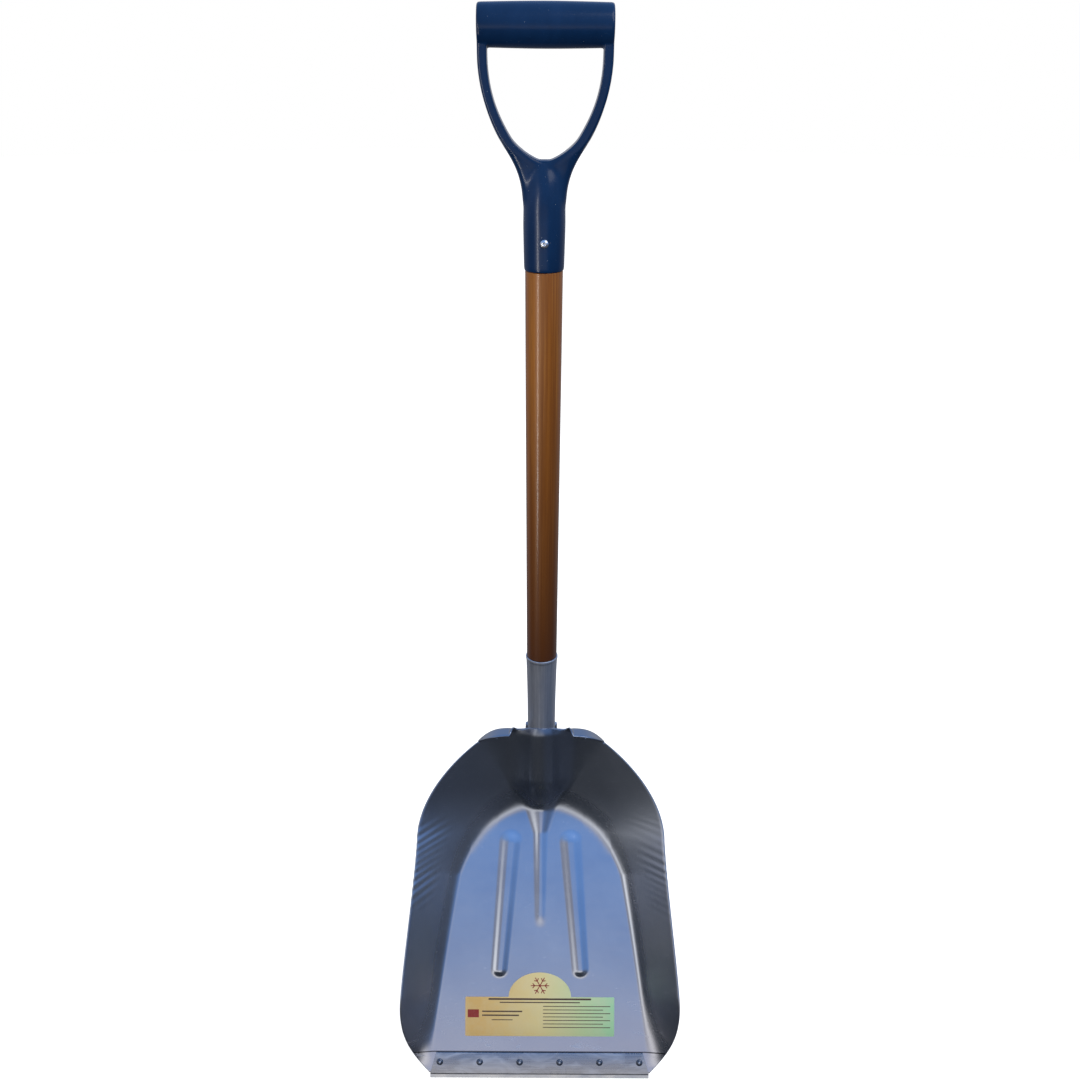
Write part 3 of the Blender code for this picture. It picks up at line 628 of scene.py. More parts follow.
def frog_height(u, v):
    """A ridge parallel to the shaft, round over the socket, whose narrow nose turns into the floor."""
    along_shaft = (FROG_RADIUS - AXIS_DROP + v * UP[1]) / UP[0]
    crest = -soft_max(-along_shaft, -(v - FROG_NOSE) * FROG_NOSE_SLOPE, FROG_NOSE_BEND)
    radius = np.interp(v, FROG_RADIUS_BAND, [FROG_FOOT_RADIUS, FROG_RADIUS])
    flank = np.radians(np.interp(v, [FLOOR_TOP, BLADE_TOP], FROG_FLANKS))
    inner = np.minimum(np.abs(u), radius * np.sin(flank))
    fall = radius - np.sqrt(radius**2 - inner**2)
    return crest - fall - (np.abs(u) - inner) * np.tan(flank)


def keel_height(u, v):
    half_width = np.interp(v, KEEL, KEEL_HALF_WIDTHS)
    height = np.interp(v, KEEL, KEEL_HEIGHTS) * ramp(v, KEEL[0], KEEL[0] + KEEL_END)
    return height * np.cos(np.clip(u / half_width, -1, 1) * math.pi / 2) ** 2


def rib_height(u, v):
    """A soft rib with a steep foot."""
    foot = np.array(RIB_FOOT)
    length = np.linalg.norm(np.array(RIB_TOP) - foot)
    along_u, along_v = (np.array(RIB_TOP) - foot) / length
    along = (u - foot[0]) * along_u + (v - foot[1]) * along_v
    across = (u - foot[0]) * along_v - (v - foot[1]) * along_u
    past_end = np.maximum(np.maximum(-along * RIB_END_STEEPNESS, along - length), 0)
    off = np.hypot(across, past_end)
    share = np.clip(along / length, 0, 1)
    half_width = RIB_HALF_WIDTHS[0] + share * (RIB_HALF_WIDTHS[1] - RIB_HALF_WIDTHS[0])
    height = RIB_HEIGHTS[0] + share * (RIB_HEIGHTS[1] - RIB_HEIGHTS[0])
    return height * (1 - ramp(off, RIB_CREST * half_width, half_width))


def blade_height(u, v):
    base = wall_height(u, v) + keel_height(u, v)
    blend = np.interp(v, [FLOOR_TOP, BLADE_TOP], FROG_BLENDS)
    return soft_max(base, frog_height(u, v), blend) + rib_height(u, v)


def column_places(half_width, v):
    """Where a row's points lie across half the blade: closer at the frog, the rib and the wall."""
    rib_middle = np.interp(v, [RIB_FOOT[1], RIB_TOP[1]], [RIB_FOOT[0], RIB_TOP[0]])
    floor = floor_curve()
    floor_edge = np.interp(min(v, CREASE_TOP), floor[::-1, 1], floor[::-1, 0])
    floor_edge = min(floor_edge, half_width - RIM_MARGIN)
    places = [FROG_RADIUS * math.sin(math.radians(a)) for a in np.linspace(0, 90, 15)]
    guides = [
        (rib_middle - RIB_REACH, 3),
        (rib_middle, 10),
        (rib_middle + RIB_REACH, 10),
        (floor_edge - CREASE_REACH[0], 6),
        (floor_edge + CREASE_REACH[1], 9),
        (half_width, 16),
    ]
    for guide, count in guides:
        places += list(np.linspace(places[-1], guide, count + 1)[1:])
    return np.array(places)


def step_lip(u):
    """Along the top edge: how far the lip is turned forward (0 to 1), and how much of it is left."""
    turn = ramp(u, STEP_INNER, STEP_INNER + STEP_RAMP)
    left = 1 - np.clip((u - STEP_FADE) / (SHOULDER[0] - STEP_FADE), 0, 1) ** 2
    return turn, left


def blade_rows(count):
    """Points of half the blade's hollow face, row by row from the ground edge up, as (u, v, w)."""
    rim = rim_curve()[::-1]
    travel = np.concatenate([[0], np.cumsum(np.linalg.norm(np.diff(rim, axis=0), axis=1))])
    rows = []
    for part in np.linspace(0, travel[-1], count):
        half_width = np.interp(part, travel, rim[:, 0])
        rim_v = np.interp(part, travel, rim[:, 1])
        u = column_places(half_width, rim_v)
        crown = (BLADE_TOP / SHOULDER[1] - 1) * (1 - (u / half_width) ** 5)
        v = rim_v * (1 + crown)
        turn, left = step_lip(u)
        w = blade_height(u, v)
        rise = STEP_RISE * turn * left * ramp(v, STEP_ROOT, BLADE_TOP)
        rows.append(np.column_stack([u, v + rise * UP[0], w + rise * UP[1]]))
    return rows


def lip_rows(edge):
    """The lip beyond the top row: up round the socket at the neck, bent into a foot step beside it."""
    u = edge[:, 0]
    turn, left = step_lip(u)
    angle = np.maximum(turn * math.pi / 2, 0.001)
    near = (1 - np.clip((u - NECK[0]) / (NECK[1] - NECK[0]), 0, 1)) ** 2
    neck = NECK_RISE * near
    bend, flat = 6, 5
    steps = []
    for share in np.linspace(0, 1, bend + 1)[1:]:
        up = STEP_BEND_LENGTH / angle * np.sin(angle * share) + neck * share
        forward = STEP_BEND_LENGTH / angle * (1 - np.cos(angle * share))
        steps.append((up, forward))
    bend_up, bend_forward = steps[-1]
    for share in np.linspace(0, 1, flat + 1)[1:]:
        length = share * (PLAIN_LIP + STEP_LENGTH * turn)
        steps.append((bend_up + length * np.cos(angle), bend_forward + length * np.sin(angle)))
    made = []
    axis_w = (edge[:, 1] * UP[1] - AXIS_DROP) / UP[0]
    shaft_side = unit(np.column_stack([u, (edge[:, 2] - axis_w) * UP[0]]))
    off_axis = np.hypot(u, (edge[:, 2] - axis_w) * UP[0])
    for index, (up, forward) in enumerate(steps):
        v = edge[:, 1] + left * (up * UP[0] + forward * FORWARD[0])
        w = edge[:, 2] + left * (up * UP[1] + forward * FORWARD[1])
        close = near * ramp((index + 1) / len(steps), 0, 1) * (off_axis - NECK_RADIUS)
        closer = shaft_side[:, 1] * close
        made.append(
            np.column_stack(
                [u - shaft_side[:, 0] * close, v - closer * FORWARD[0], w - closer * FORWARD[1]]
            )
        )
    return made


def wrinkles(grid):
    """Shallow folds that the press left across the side walls, as a height along the sheet's normal."""
    u, v, w = grid[..., 0], grid[..., 1], grid[..., 2]
    slanted = v + np.where(u < 0, *WRINKLE_SLANTS) * (np.abs(u) - 130 * MM)
    drift = WRINKLE_DRIFT * np.sin(v / (15 * MM) + 1.3 * np.sign(u) + 9 * np.abs(u))
    fold = np.sin(2 * math.pi * (slanted + drift) / WRINKLE_PITCH)
    uneven = 0.65 + 0.35 * np.sin(v / (11 * MM) + 2 * np.sign(u))
    middle = sum(WRINKLE_BAND) / 2
    reach = (WRINKLE_BAND[1] - WRINKLE_BAND[0]) / 2
    window = np.clip(1 - ((v - middle) / reach) ** 2, 0, 1)
    on_wall = ramp(w, *WRINKLE_WALL_HEIGHTS) * ramp(np.abs(u), *WRINKLE_WALL_PLACES)
    height = np.where(u < 0, *WRINKLE_HEIGHTS)
    return height * fold * uneven * window * on_wall


def unit(vectors):
    return vectors / np.maximum(np.linalg.norm(vectors, axis=-1, keepdims=True), 1e-12)


def sheet_mesh(name, grid, thickness):
    """A closed sheet with a rounded edge. The grid (rows, columns, 3) is its front face."""
    rows, columns, _ = grid.shape
    normal = unit(np.cross(np.gradient(grid, axis=1), np.gradient(grid, axis=0)))
    outward = np.zeros_like(grid)
    outward[0] += unit(grid[0] - grid[1])
    outward[-1] += unit(grid[-1] - grid[-2])
    outward[:, 0] += unit(grid[:, 0] - grid[:, 1])
    outward[:, -1] += unit(grid[:, -1] - grid[:, -2])
    border = (
        [(0, c) for c in range(columns)]
        + [(r, columns - 1) for r in range(1, rows)]
        + [(rows - 1, c) for c in range(columns - 2, -1, -1)]
        + [(r, 0) for r in range(rows - 2, 0, -1)]
    )
    bm = bmesh.new()
    front = [[bm.verts.new(p) for p in row] for row in grid]
    back = [[bm.verts.new(p) for p in row] for row in grid - normal * thickness]
    for r in range(rows - 1):
        for c in range(columns - 1):
            a, b = (r, c), (r, c + 1)
            d, e = (r + 1, c + 1), (r + 1, c)
            bm.faces.new([front[i][j] for i, j in (a, b, d, e)])
            bm.faces.new([back[i][j] for i, j in (e, d, b, a)])
    loops = [[front[i][j] for i, j in border]]
    for degrees in (45, 90, 135):
        turn = math.radians(degrees)
        loop = []
        for i, j in border:
            middle = grid[i, j] - normal[i, j] * thickness / 2
            side = unit(outward[i, j] - normal[i, j] * outward[i, j].dot(normal[i, j]))
            arc = normal[i, j] * math.cos(turn) + side * math.sin(turn)
            loop.append(bm.verts.new(middle + arc * thickness / 2))
        loops.append(loop)
    loops.append([back[i][j] for i, j in border])
    for one, two in zip(loops, loops[1:]):
        for k in range(len(border)):
            n = (k + 1) % len(border)
            bm.faces.new([one[k], two[k], two[n], one[n]])
    return object_from(name, bm, 50)


def make_blade():
    rows = blade_rows(BLADE_ROWS)
    rows += lip_rows(rows[-1])
    half = np.array(rows)
    mirrored = half[:, :0:-1] * np.array([-1, 1, 1])
    grid = np.concatenate([mirrored, half], axis=1)
    normal = unit(np.cross(np.gradient(grid, axis=1), np.gradient(grid, axis=0)))
    grid = grid + normal * wrinkles(grid)[..., None]
    blade = sheet_mesh("blade_sheet", grid, SHEET)
    place(blade, BLADE_PLANE, blade_aluminium(), "blade_aluminium", "blade")


# ---------------------------------------------------------------- wear strip, rivets, label


def rivet_place(index):
    return (index - (RIVET_COUNT - 1) / 2) * RIVET_SPACING


def make_wear_strip():
    """A joggled strip with real bend radii, drilled for its rivets."""
    edge = 0.35 * MM
    step = BLADE_EDGE - FIT_GAP
    outline = rounded(
        [
            (STRIP_TOP, STRIP_BACK, edge),
            (STRIP_TOP, STRIP_FRONT, edge),
            (step - STRIP_SHEET, STRIP_FRONT, 1.0 * MM),
            (step - STRIP_SHEET, LIP_FRONT, 0.3 * MM),
            (STRIP_FOOT, LIP_FRONT, edge),
            (STRIP_FOOT, LIP_BACK, edge),
            (step, LIP_BACK, 1.0 * MM),
            (step, STRIP_BACK, 0.3 * MM),
        ],
        closed=True,
    )
    bm = bmesh.new()
    loops = []
    for across in np.linspace(-1, 1, 41):
        loop = []
        for v, w in outline:
            half = STRIP_HALF_WIDTH * (1 - STRIP_TAPER * max(v, 0) / STRIP_HALF_WIDTH)
            loop.append(bm.verts.new((across * half, v, w)))
        loops.append(loop)
    count = len(outline)
    for one, two in zip(loops, loops[1:]):
        for k in range(count):
            n = (k + 1) % count
            bm.faces.new([one[k], two[k], two[n], one[n]])
    bm.faces.new(loops[0])
    bm.faces.new(loops[-1])
    strip = object_from("wear_strip_sheet", bm)
    for index in range(RIVET_COUNT):
        reach = 9 * MM
        sides = [(RIVET_HOLE_RADIUS, reach), (RIVET_HOLE_RADIUS, -reach)]
        hole = lathe("hole", [(0, reach), *sides, (0, -reach)], 24)
        hole.location = (rivet_place(index), RIVET_ROW, 0)
        boolean(strip, hole, "DIFFERENCE")
    place(strip, BLADE_PLANE, stainless_steel(), "stainless_steel", "wear_strip")


def make_strip_rivets():
    """Blind rivets: a domed flange coloured near-black as a painted dark reflection, a recess round the
    mandrel's stub, and a formed tail behind.
    """
    front = STRIP_FRONT + 0.05 * MM
    back = -SHEET - FIT_GAP
    tail = back - 4 * MM
    body_profile = rounded(
        [
            (1.2 * MM, front + 0.3 * MM, 0.1 * MM),
            (2.1 * MM, front + 0.8 * MM, 0.1 * MM),
            (2.1 * MM, front + 1.75 * MM, 0.15 * MM),
            (2.7 * MM, front + 1.7 * MM, 0.4 * MM),
            (3.9 * MM, front + 0.75 * MM, 0.7 * MM),
            (4.2 * MM, front, 0.15 * MM),
            (2 * MM, front, 0.1 * MM),
            (2 * MM, back, 0.1 * MM),
            (3.2 * MM, back, 0.5 * MM),
            (3 * MM, tail + 1 * MM, 0.8 * MM),
            (2.2 * MM, tail, 0.3 * MM),
            (1.2 * MM, tail, 0.1 * MM),
        ],
        closed=True,
    )
    stub_profile = rounded(
        [
            (0, front + 1.7 * MM, 0),
            (1.3 * MM, front + 1.6 * MM, 0.5 * MM),
            (1.75 * MM, front + 0.9 * MM, 0.2 * MM),
            (0.9 * MM, front + 0.85 * MM, 0.1 * MM),
            (0.9 * MM, tail - 0.3 * MM, 0.1 * MM),
            (1.8 * MM, tail - 0.3 * MM, 0.3 * MM),
            (1.6 * MM, tail - 1.5 * MM, 0.5 * MM),
            (0, tail - 1.9 * MM, 0),
        ]
    )
    # painted reflection: the aluminium rivet flanges are coloured near-black for the dark ground they mirror
    flange = fastener_metal("rivet_aluminium", (0.1, 0.11, 0.13), (0.22, 0.23, 0.26), 0.4)
    stub_steel = fastener_metal("mandrel_steel", (0.6, 0.6, 0.62), (0.8, 0.8, 0.82), 0.4)
    for index in range(RIVET_COUNT):
        number = index + 1
        spot = BLADE_PLANE @ Matrix.Translation((rivet_place(index), RIVET_ROW, 0))
        body = lathe(f"rivet_body_{number}", body_profile, 48, closed=True)
        place(body, spot, flange, "rivet_aluminium", f"strip_rivet_{number}")
        stub = lathe(f"rivet_stub_{number}", stub_profile, 32)
        place(stub, spot, stub_steel, "mandrel_steel", f"rivet_mandrel_{number}")


def arch_points(half_width, top, peak, count):
    angles = np.linspace(0, math.pi, count)
    return [(half_width * math.cos(a), top + (peak - top) * math.sin(a)) for a in angles]


def make_label():
    """The sticker: a plate with rounded corners and an arch, 0.3 mm thick."""
    corner = 1.5 * MM
    outline = [
        (LABEL_HALF_WIDTH, LABEL_TOP, corner),
        *((x, y, 0) for x, y in arch_points(LABEL_ARCH_HALF_WIDTH, LABEL_TOP, LABEL_ARCH, 49)),
        (-LABEL_HALF_WIDTH, LABEL_TOP, corner),
        (-LABEL_HALF_WIDTH, LABEL_FOOT, corner),
        (LABEL_HALF_WIDTH, LABEL_FOOT, corner),
    ]
    low = 0.1 * MM
    high = 0.4 * MM
    label = prism("label_sticker", rounded(outline, closed=True), low, high, 0.08 * MM)
    place(label, BLADE_PLANE, label_film(), "label_film", "label")
    make_print(high)


def bar(bm, left, right, low, high, base, rise):
    """A thin printed bar, as a low box."""
    cube = bmesh.ops.create_cube(bm, size=1)["verts"]
    for vert in cube:
        vert.co.x = left if vert.co.x < 0 else right
        vert.co.y = low if vert.co.y < 0 else high
        vert.co.z = base if vert.co.z < 0 else base + rise


def make_print(base):
    """Plain bars in place of lines of print, and a six-armed snow crystal in the arch."""
    ink_rise = 0.06 * MM
    dark = bmesh.new()
    rows = [  # half length, height up the blade and thickness of centred bars
        (64, 95.2, 2.2),
        (50, 90.6, 1.3),
    ]
    for half, v, thick in rows:
        bar(dark, -half * MM, half * MM, (v - thick) * MM, v * MM, base, ink_rise)
    columns = [(-72, -22, 79.5, 1.7), (-72, -26, 74.6, 1.7), (-60, -34, 68.6, 1.0)]
    columns += [(4, 88 - 9 * (k % 2), 85.6 - 4.4 * k, 0.9) for k in range(7)]
    for left, right, v, thick in columns:
        bar(dark, left * MM, right * MM, (v - thick) * MM, v * MM, base, ink_rise)
    piece = object_from("label_bars", dark)
    place(piece, BLADE_PLANE, print_ink("label_ink_dark", (0.09, 0.05, 0.03)), "label_film")

    red = bmesh.new()
    bar(red, -90 * MM, -76 * MM, 71 * MM, 81 * MM, base, ink_rise)
    centre = np.array((0, 111 * MM))
    for turn in range(6):
        spin = Matrix.Rotation(turn * math.pi / 3, 3, "Z")
        for start, end, tilt, offset in (
            (0, 11.5, 0, 0.0),
            (0, 4, 50, 6.5),
            (0, 4, -50, 6.5),
        ):
            before = len(red.verts)
            bar(red, start * MM, end * MM, -0.55 * MM, 0.55 * MM, base, ink_rise)
            red.verts.ensure_lookup_table()
            lean = Matrix.Rotation(math.radians(tilt), 3, "Z")
            for vert in red.verts[before:]:
                local = lean @ vert.co
                local.x += offset * MM
                local = spin @ local
                vert.co = (local.x + centre[0], local.y + centre[1], vert.co.z)
    piece = object_from("label_crystal", red)
    place(piece, BLADE_PLANE, print_ink("label_ink_red", (0.36, 0.03, 0.02)), "label_film")


# ---------------------------------------------------------------- handle


def make_shaft():
    """The ash shaft, from the tenon in the grip to the tapered foot in the socket."""
    profile = rounded(
        [
            (0, -176 * MM, 0),
            (17 * MM, -176 * MM, 1.5 * MM),
            (17 * MM, -GRIP_END - FIT_GAP, 0.2 * MM),
            (19 * MM, -GRIP_END - FIT_GAP, 0.6 * MM),
            (18.7 * MM, -330 * MM, 20 * MM),
            (17.25 * MM, -683.7 * MM, 0.4 * MM),
            (16.1 * MM, -683.7 * MM, 0.2 * MM),
            (14.4 * MM, -SOCKET_WAIST, 5 * MM),
            (13.6 * MM, -SHAFT_END, 1 * MM),
            (0, -SHAFT_END, 0),
        ]
    )
    shaft = lathe("shaft_ash", profile, 128)
    place(shaft, HANDLE, ash_wood(), "ash_wood", "shaft")


def make_socket():
    """The tapered tube, with a rolled rim at its mouth."""
    profile = rounded(
        [
            (16.5 * MM, -684.6 * MM, 0.3 * MM),
            (17.3 * MM, -SOCKET_MOUTH, 0.4 * MM),
            (18.5 * MM, -684.2 * MM, 0.7 * MM),
            (18.5 * MM, -686.8 * MM, 0.6 * MM),
            (17.95 * MM, -688.2 * MM, 1.5 * MM),
            (17.4 * MM, -702 * MM, 6 * MM),
            (16.45 * MM, -SOCKET_WAIST, 15 * MM),
            (15.9 * MM, -SOCKET_END, 0.4 * MM),
            (14.1 * MM, -SOCKET_END, 0.4 * MM),
            (14.65 * MM, -SOCKET_WAIST, 15 * MM),
        ],
        closed=True,
    )
    socket = lathe("socket_tube", profile, 128, closed=True)
    place(socket, HANDLE, socket_aluminium(), "socket_aluminium", "socket")


def make_weld():
    """Rippled beads along both sides of the socket where it lies in the back of the frog."""
    metal = weld_metal()
    for name, side in (("weld_bead_left", -1), ("weld_bead_right", 1)):
        bm = bmesh.new()
        loops = []
        for step, drop in enumerate(np.linspace(*WELD_SPAN, WELD_STEPS)):
            ripple = 0.28 * MM * abs(math.sin(step * 0.55)) + 0.2 * MM * math.sin(step * 0.13 + side)
            fade = min(1, step / 4, (WELD_STEPS - 1 - step) / 4)
            radius = (WELD_RADIUS + ripple) * max(fade, 0.05)
            middle = (side * WELD_PLACE[0], WELD_PLACE[1], -drop)
            loops.append(
                [
                    bm.verts.new(
                        (
                            middle[0] + radius * math.cos(a),
                            middle[1] + radius * math.sin(a),
                            middle[2] + 0.6 * radius * math.cos(2 * a),
                        )
                    )
                    for a in np.linspace(0, 2 * math.pi, WELD_SIDES, endpoint=False)
                ]
            )
        for one, two in zip(loops, loops[1:]):
            for k in range(WELD_SIDES):
                n = (k + 1) % WELD_SIDES
                bm.faces.new([one[k], two[k], two[n], one[n]])
        bm.faces.new(loops[0])
        bm.faces.new(loops[-1])
        bead = object_from(name, bm)
        place(bead, HANDLE, metal, "socket_aluminium")


def make_socket_screw():
    """Pan-head wood screw from behind, with a cross recess."""
    seat = 17.6 * MM
    profile = rounded(
        [
            (0, seat + 2.3 * MM, 0),
            (2.9 * MM, seat + 2.2 * MM, 1 * MM),
            (4.1 * MM, seat + 0.9 * MM, 0.8 * MM),
            (4.1 * MM, seat, 0.1 * MM),
            (2 * MM, seat, 0.1 * MM),
            (2 * MM, -3 * MM, 0.5 * MM),
            (0, -8 * MM, 0),
        ]
    )
    screw = lathe("socket_screw_head", profile, 48)
    for turn in (0, math.pi / 2):
        bm = bmesh.new()
        cube = bmesh.ops.create_cube(bm, size=1)["verts"]
        bmesh.ops.scale(bm, vec=(4.2 * MM, 0.9 * MM, 2.6 * MM), verts=cube)
        slot = object_from("slot", bm)
        slot.location = (0, 0, seat + 2.3 * MM)
        slot.rotation_euler = (0, 0, turn)
        boolean(screw, slot, "DIFFERENCE")
    spot = HANDLE @ Matrix.Translation((0, 0, -SOCKET_SCREW_DROP))
    spot = spot @ Matrix.Rotation(-math.pi / 2, 4, "X")
    steel = fastener_metal("screw_steel", (0.5, 0.5, 0.5), (0.7, 0.7, 0.72), 0.3)
    place(screw, spot, steel, "screw_steel", "socket_screw")


def make_grip_rivet():
    reach = 20.75 * MM
    profile = rounded(
        [
            (0, reach + 0.9 * MM, 0),
            (0.8 * MM, reach + 1.0 * MM, 0.3 * MM),
            (1.3 * MM, reach + 1.8 * MM, 0.4 * MM),
            (2.6 * MM, reach + 1.6 * MM, 1.2 * MM),
            (4.1 * MM, reach + 0.3 * MM, 0.8 * MM),
            (4.1 * MM, reach, 0.1 * MM),
            (2.3 * MM, reach, 0.1 * MM),
            (2.3 * MM, -reach, 0.1 * MM),
            (4.1 * MM, -reach, 0.1 * MM),
            (3.9 * MM, -reach - 0.8 * MM, 0.8 * MM),
            (0, -reach - 1.9 * MM, 0),
        ]
    )
    rivet = lathe("grip_rivet_head", profile, 48)
    spot = HANDLE @ Matrix.Translation((0, 0, -GRIP_RIVET_DROP))
    spot = spot @ Matrix.Rotation(math.pi / 2, 4, "X")
    steel = fastener_metal("rivet_steel", (0.66, 0.68, 0.71), (0.86, 0.87, 0.89), 0.26)
    place(rivet, spot, steel, "rivet_steel", "grip_rivet")


def grip_outline(points):
    """Half of a closed outline, top to bottom, as bezier runs of (start, handle, handle, end) in mm."""
    half = np.vstack([bezier(*run, 20)[:-1] for run in points] + [np.array([points[-1][3]])])
    half = half * MM * np.array([1, -1])
    other = half[::-1] * np.array([-1, 1])
    joined = list(half) + [p for p in other if p[0] < -0.01 * MM]
    return [tuple(p) for p in joined]


OUTER_RUNS = [
    ((63.2, 12), (63.2, 25), (63.2, 35), (63.2, 45)),
    ((63.2, 45), (63.2, 75), (53, 102.4), (44, 118)),
    ((44, 118), (33, 136), (21.6, 150), (21.4, 178)),
]
INNER_RUNS = [
    ((54.2, 24), (54.2, 35), (54.2, 35), (54.2, 44)),
    ((54.2, 44), (54.2, 76), (45.6, 96.6), (33, 117)),
    ((33, 117), (26, 128), (10, 137), (0, 139.5)),
]
STRAP_RUNS = [
    ((63.2, 12), (63.2, 25), (63.2, 35), (63.2, 45)),
    ((63.2, 45), (63.2, 75), (53, 102.4), (42, 119.5)),
    ((42, 119.5), (34, 133), (14, 147), (0, 149)),
]


def frame_piece(name, outer, inner, depth, bevel):
    """A flat D-shaped frame: the outer outline with the inner one cut out, both ways from its middle."""
    whole = prism(name, grip_outline(outer), -depth / 2, depth / 2, bevel)
    opening = prism("opening", grip_outline(inner), -depth, depth)
    boolean(whole, opening, "DIFFERENCE")
    return whole


def make_grip():
    """One moulding: bar, strap-like arms, web and socket, merged and softened as one skin."""
    upright = Matrix.Rotation(math.pi / 2, 4, "X")
    strap = frame_piece("grip_strap", STRAP_RUNS, INNER_RUNS, 23 * MM, 2 * MM)
    web = frame_piece("grip_web", OUTER_RUNS, INNER_RUNS, 21.5 * MM, 5 * MM)
    half = BAR_HALF_LENGTH
    bar_profile = rounded(
        [
            (0, half, 0),
            (19.1 * MM, half, 2.5 * MM),
            (19.8 * MM, half / 2, 20 * MM),
            (20.2 * MM, 0, 20 * MM),
            (19.8 * MM, -half / 2, 20 * MM),
            (19.1 * MM, -half, 2.5 * MM),
            (0, -half, 0),
        ]
    )
    crossbar = lathe("grip_crossbar", bar_profile, 96)
    socket_profile = rounded(
        [
            (0, -137 * MM, 0),
            (10 * MM, -138 * MM, 3 * MM),
            (17 * MM, -153 * MM, 9 * MM),
            (21.2 * MM, -178 * MM, 14 * MM),
            (20.7 * MM, -212 * MM, 10 * MM),
            (20.1 * MM, -239 * MM, 2 * MM),
            (19.7 * MM, -GRIP_END, 1 * MM),
            (0, -GRIP_END, 0),
        ]
    )
    socket = lathe("moulded_grip", socket_profile, 96)
    strap.matrix_world = upright
    web.matrix_world = upright
    lying = Matrix.Rotation(math.pi / 2, 4, "Y")
    crossbar.matrix_world = Matrix.Translation((0, 0, -BAR_DROP)) @ lying
    bm = bmesh.new()
    for piece in (socket, strap, web, crossbar):
        start = len(bm.verts)
        bm.from_mesh(piece.data)
        bm.verts.ensure_lookup_table()
        bmesh.ops.transform(bm, matrix=piece.matrix_world, verts=bm.verts[start:])
    for piece in (strap, web, crossbar, socket):
        bpy.data.objects.remove(piece)
    grip = object_from("moulded_grip", bm)
    remesh = grip.modifiers.new("skin", "REMESH")
    remesh.mode = "VOXEL"
    remesh.voxel_size = SKIN_VOXEL
    relax = grip.modifiers.new("relax", "SMOOTH")
    relax.factor = 0.5
    relax.iterations = SKIN_PASSES
    apply_modifiers(grip)
    throat = grip.vertex_groups.new(name="throat")
    for vertex in grip.data.vertices:
        drop = -vertex.co.z
        weight = float(ramp(drop, *THROAT_START) * (1 - ramp(drop, *THROAT_STOP)))
        if weight > 0:
            throat.add([vertex.index], weight, "REPLACE")
    soften = grip.modifiers.new("soften", "SMOOTH")
    soften.factor = 0.5
    soften.iterations = THROAT_PASSES
    soften.vertex_group = "throat"
    apply_modifiers(grip)
    bore = lathe(
        "bore",
        [(0, -175 * MM), (17.3 * MM, -175 * MM), (17.3 * MM, -260 * MM), (0, -260 * MM)],
        64,
    )
    boolean(grip, bore, "DIFFERENCE")
    grip.data.shade_smooth()
    grip.data.set_sharp_from_angle(angle=math.radians(50))
    place(grip, HANDLE, navy_plastic(), "navy_plastic", "d_grip")


# ---------------------------------------------------------------- stage, light, camera


def make_stage():
    """A wide pale floor, unseen by reflections so that the bright metal mirrors the sky instead."""
    bm = bmesh.new()
    bmesh.ops.create_circle(bm, cap_ends=True, segments=96, radius=14)
    floor = object_from("floor", bm)
    made = Finish("floor_paper", Matrix.Identity(4), Specular_IOR_Level=0.2, Emission_Strength=0.6)
    tooth = made.noise(scale=60, detail=3)
    made.shader.inputs["Emission Color"].default_value = (1, 1, 1, 1)
    made.colour(made.mix(made.fit(tooth, 0.3, 0.7), (0.86, 0.86, 0.86), (0.9, 0.9, 0.9)))
    made.roughness(made.fit(tooth, 0.3, 0.7, 0.75, 0.85))
    made.bump(tooth, 0.3 * MM, 0.2)
    floor.data.materials.append(made.material)
    floor.location.z = min(0, cad_box[0].z) - 0.2 * MM
    floor.visible_glossy = False
    floor.visible_diffuse = False


SKY_STRENGTH = 1.5


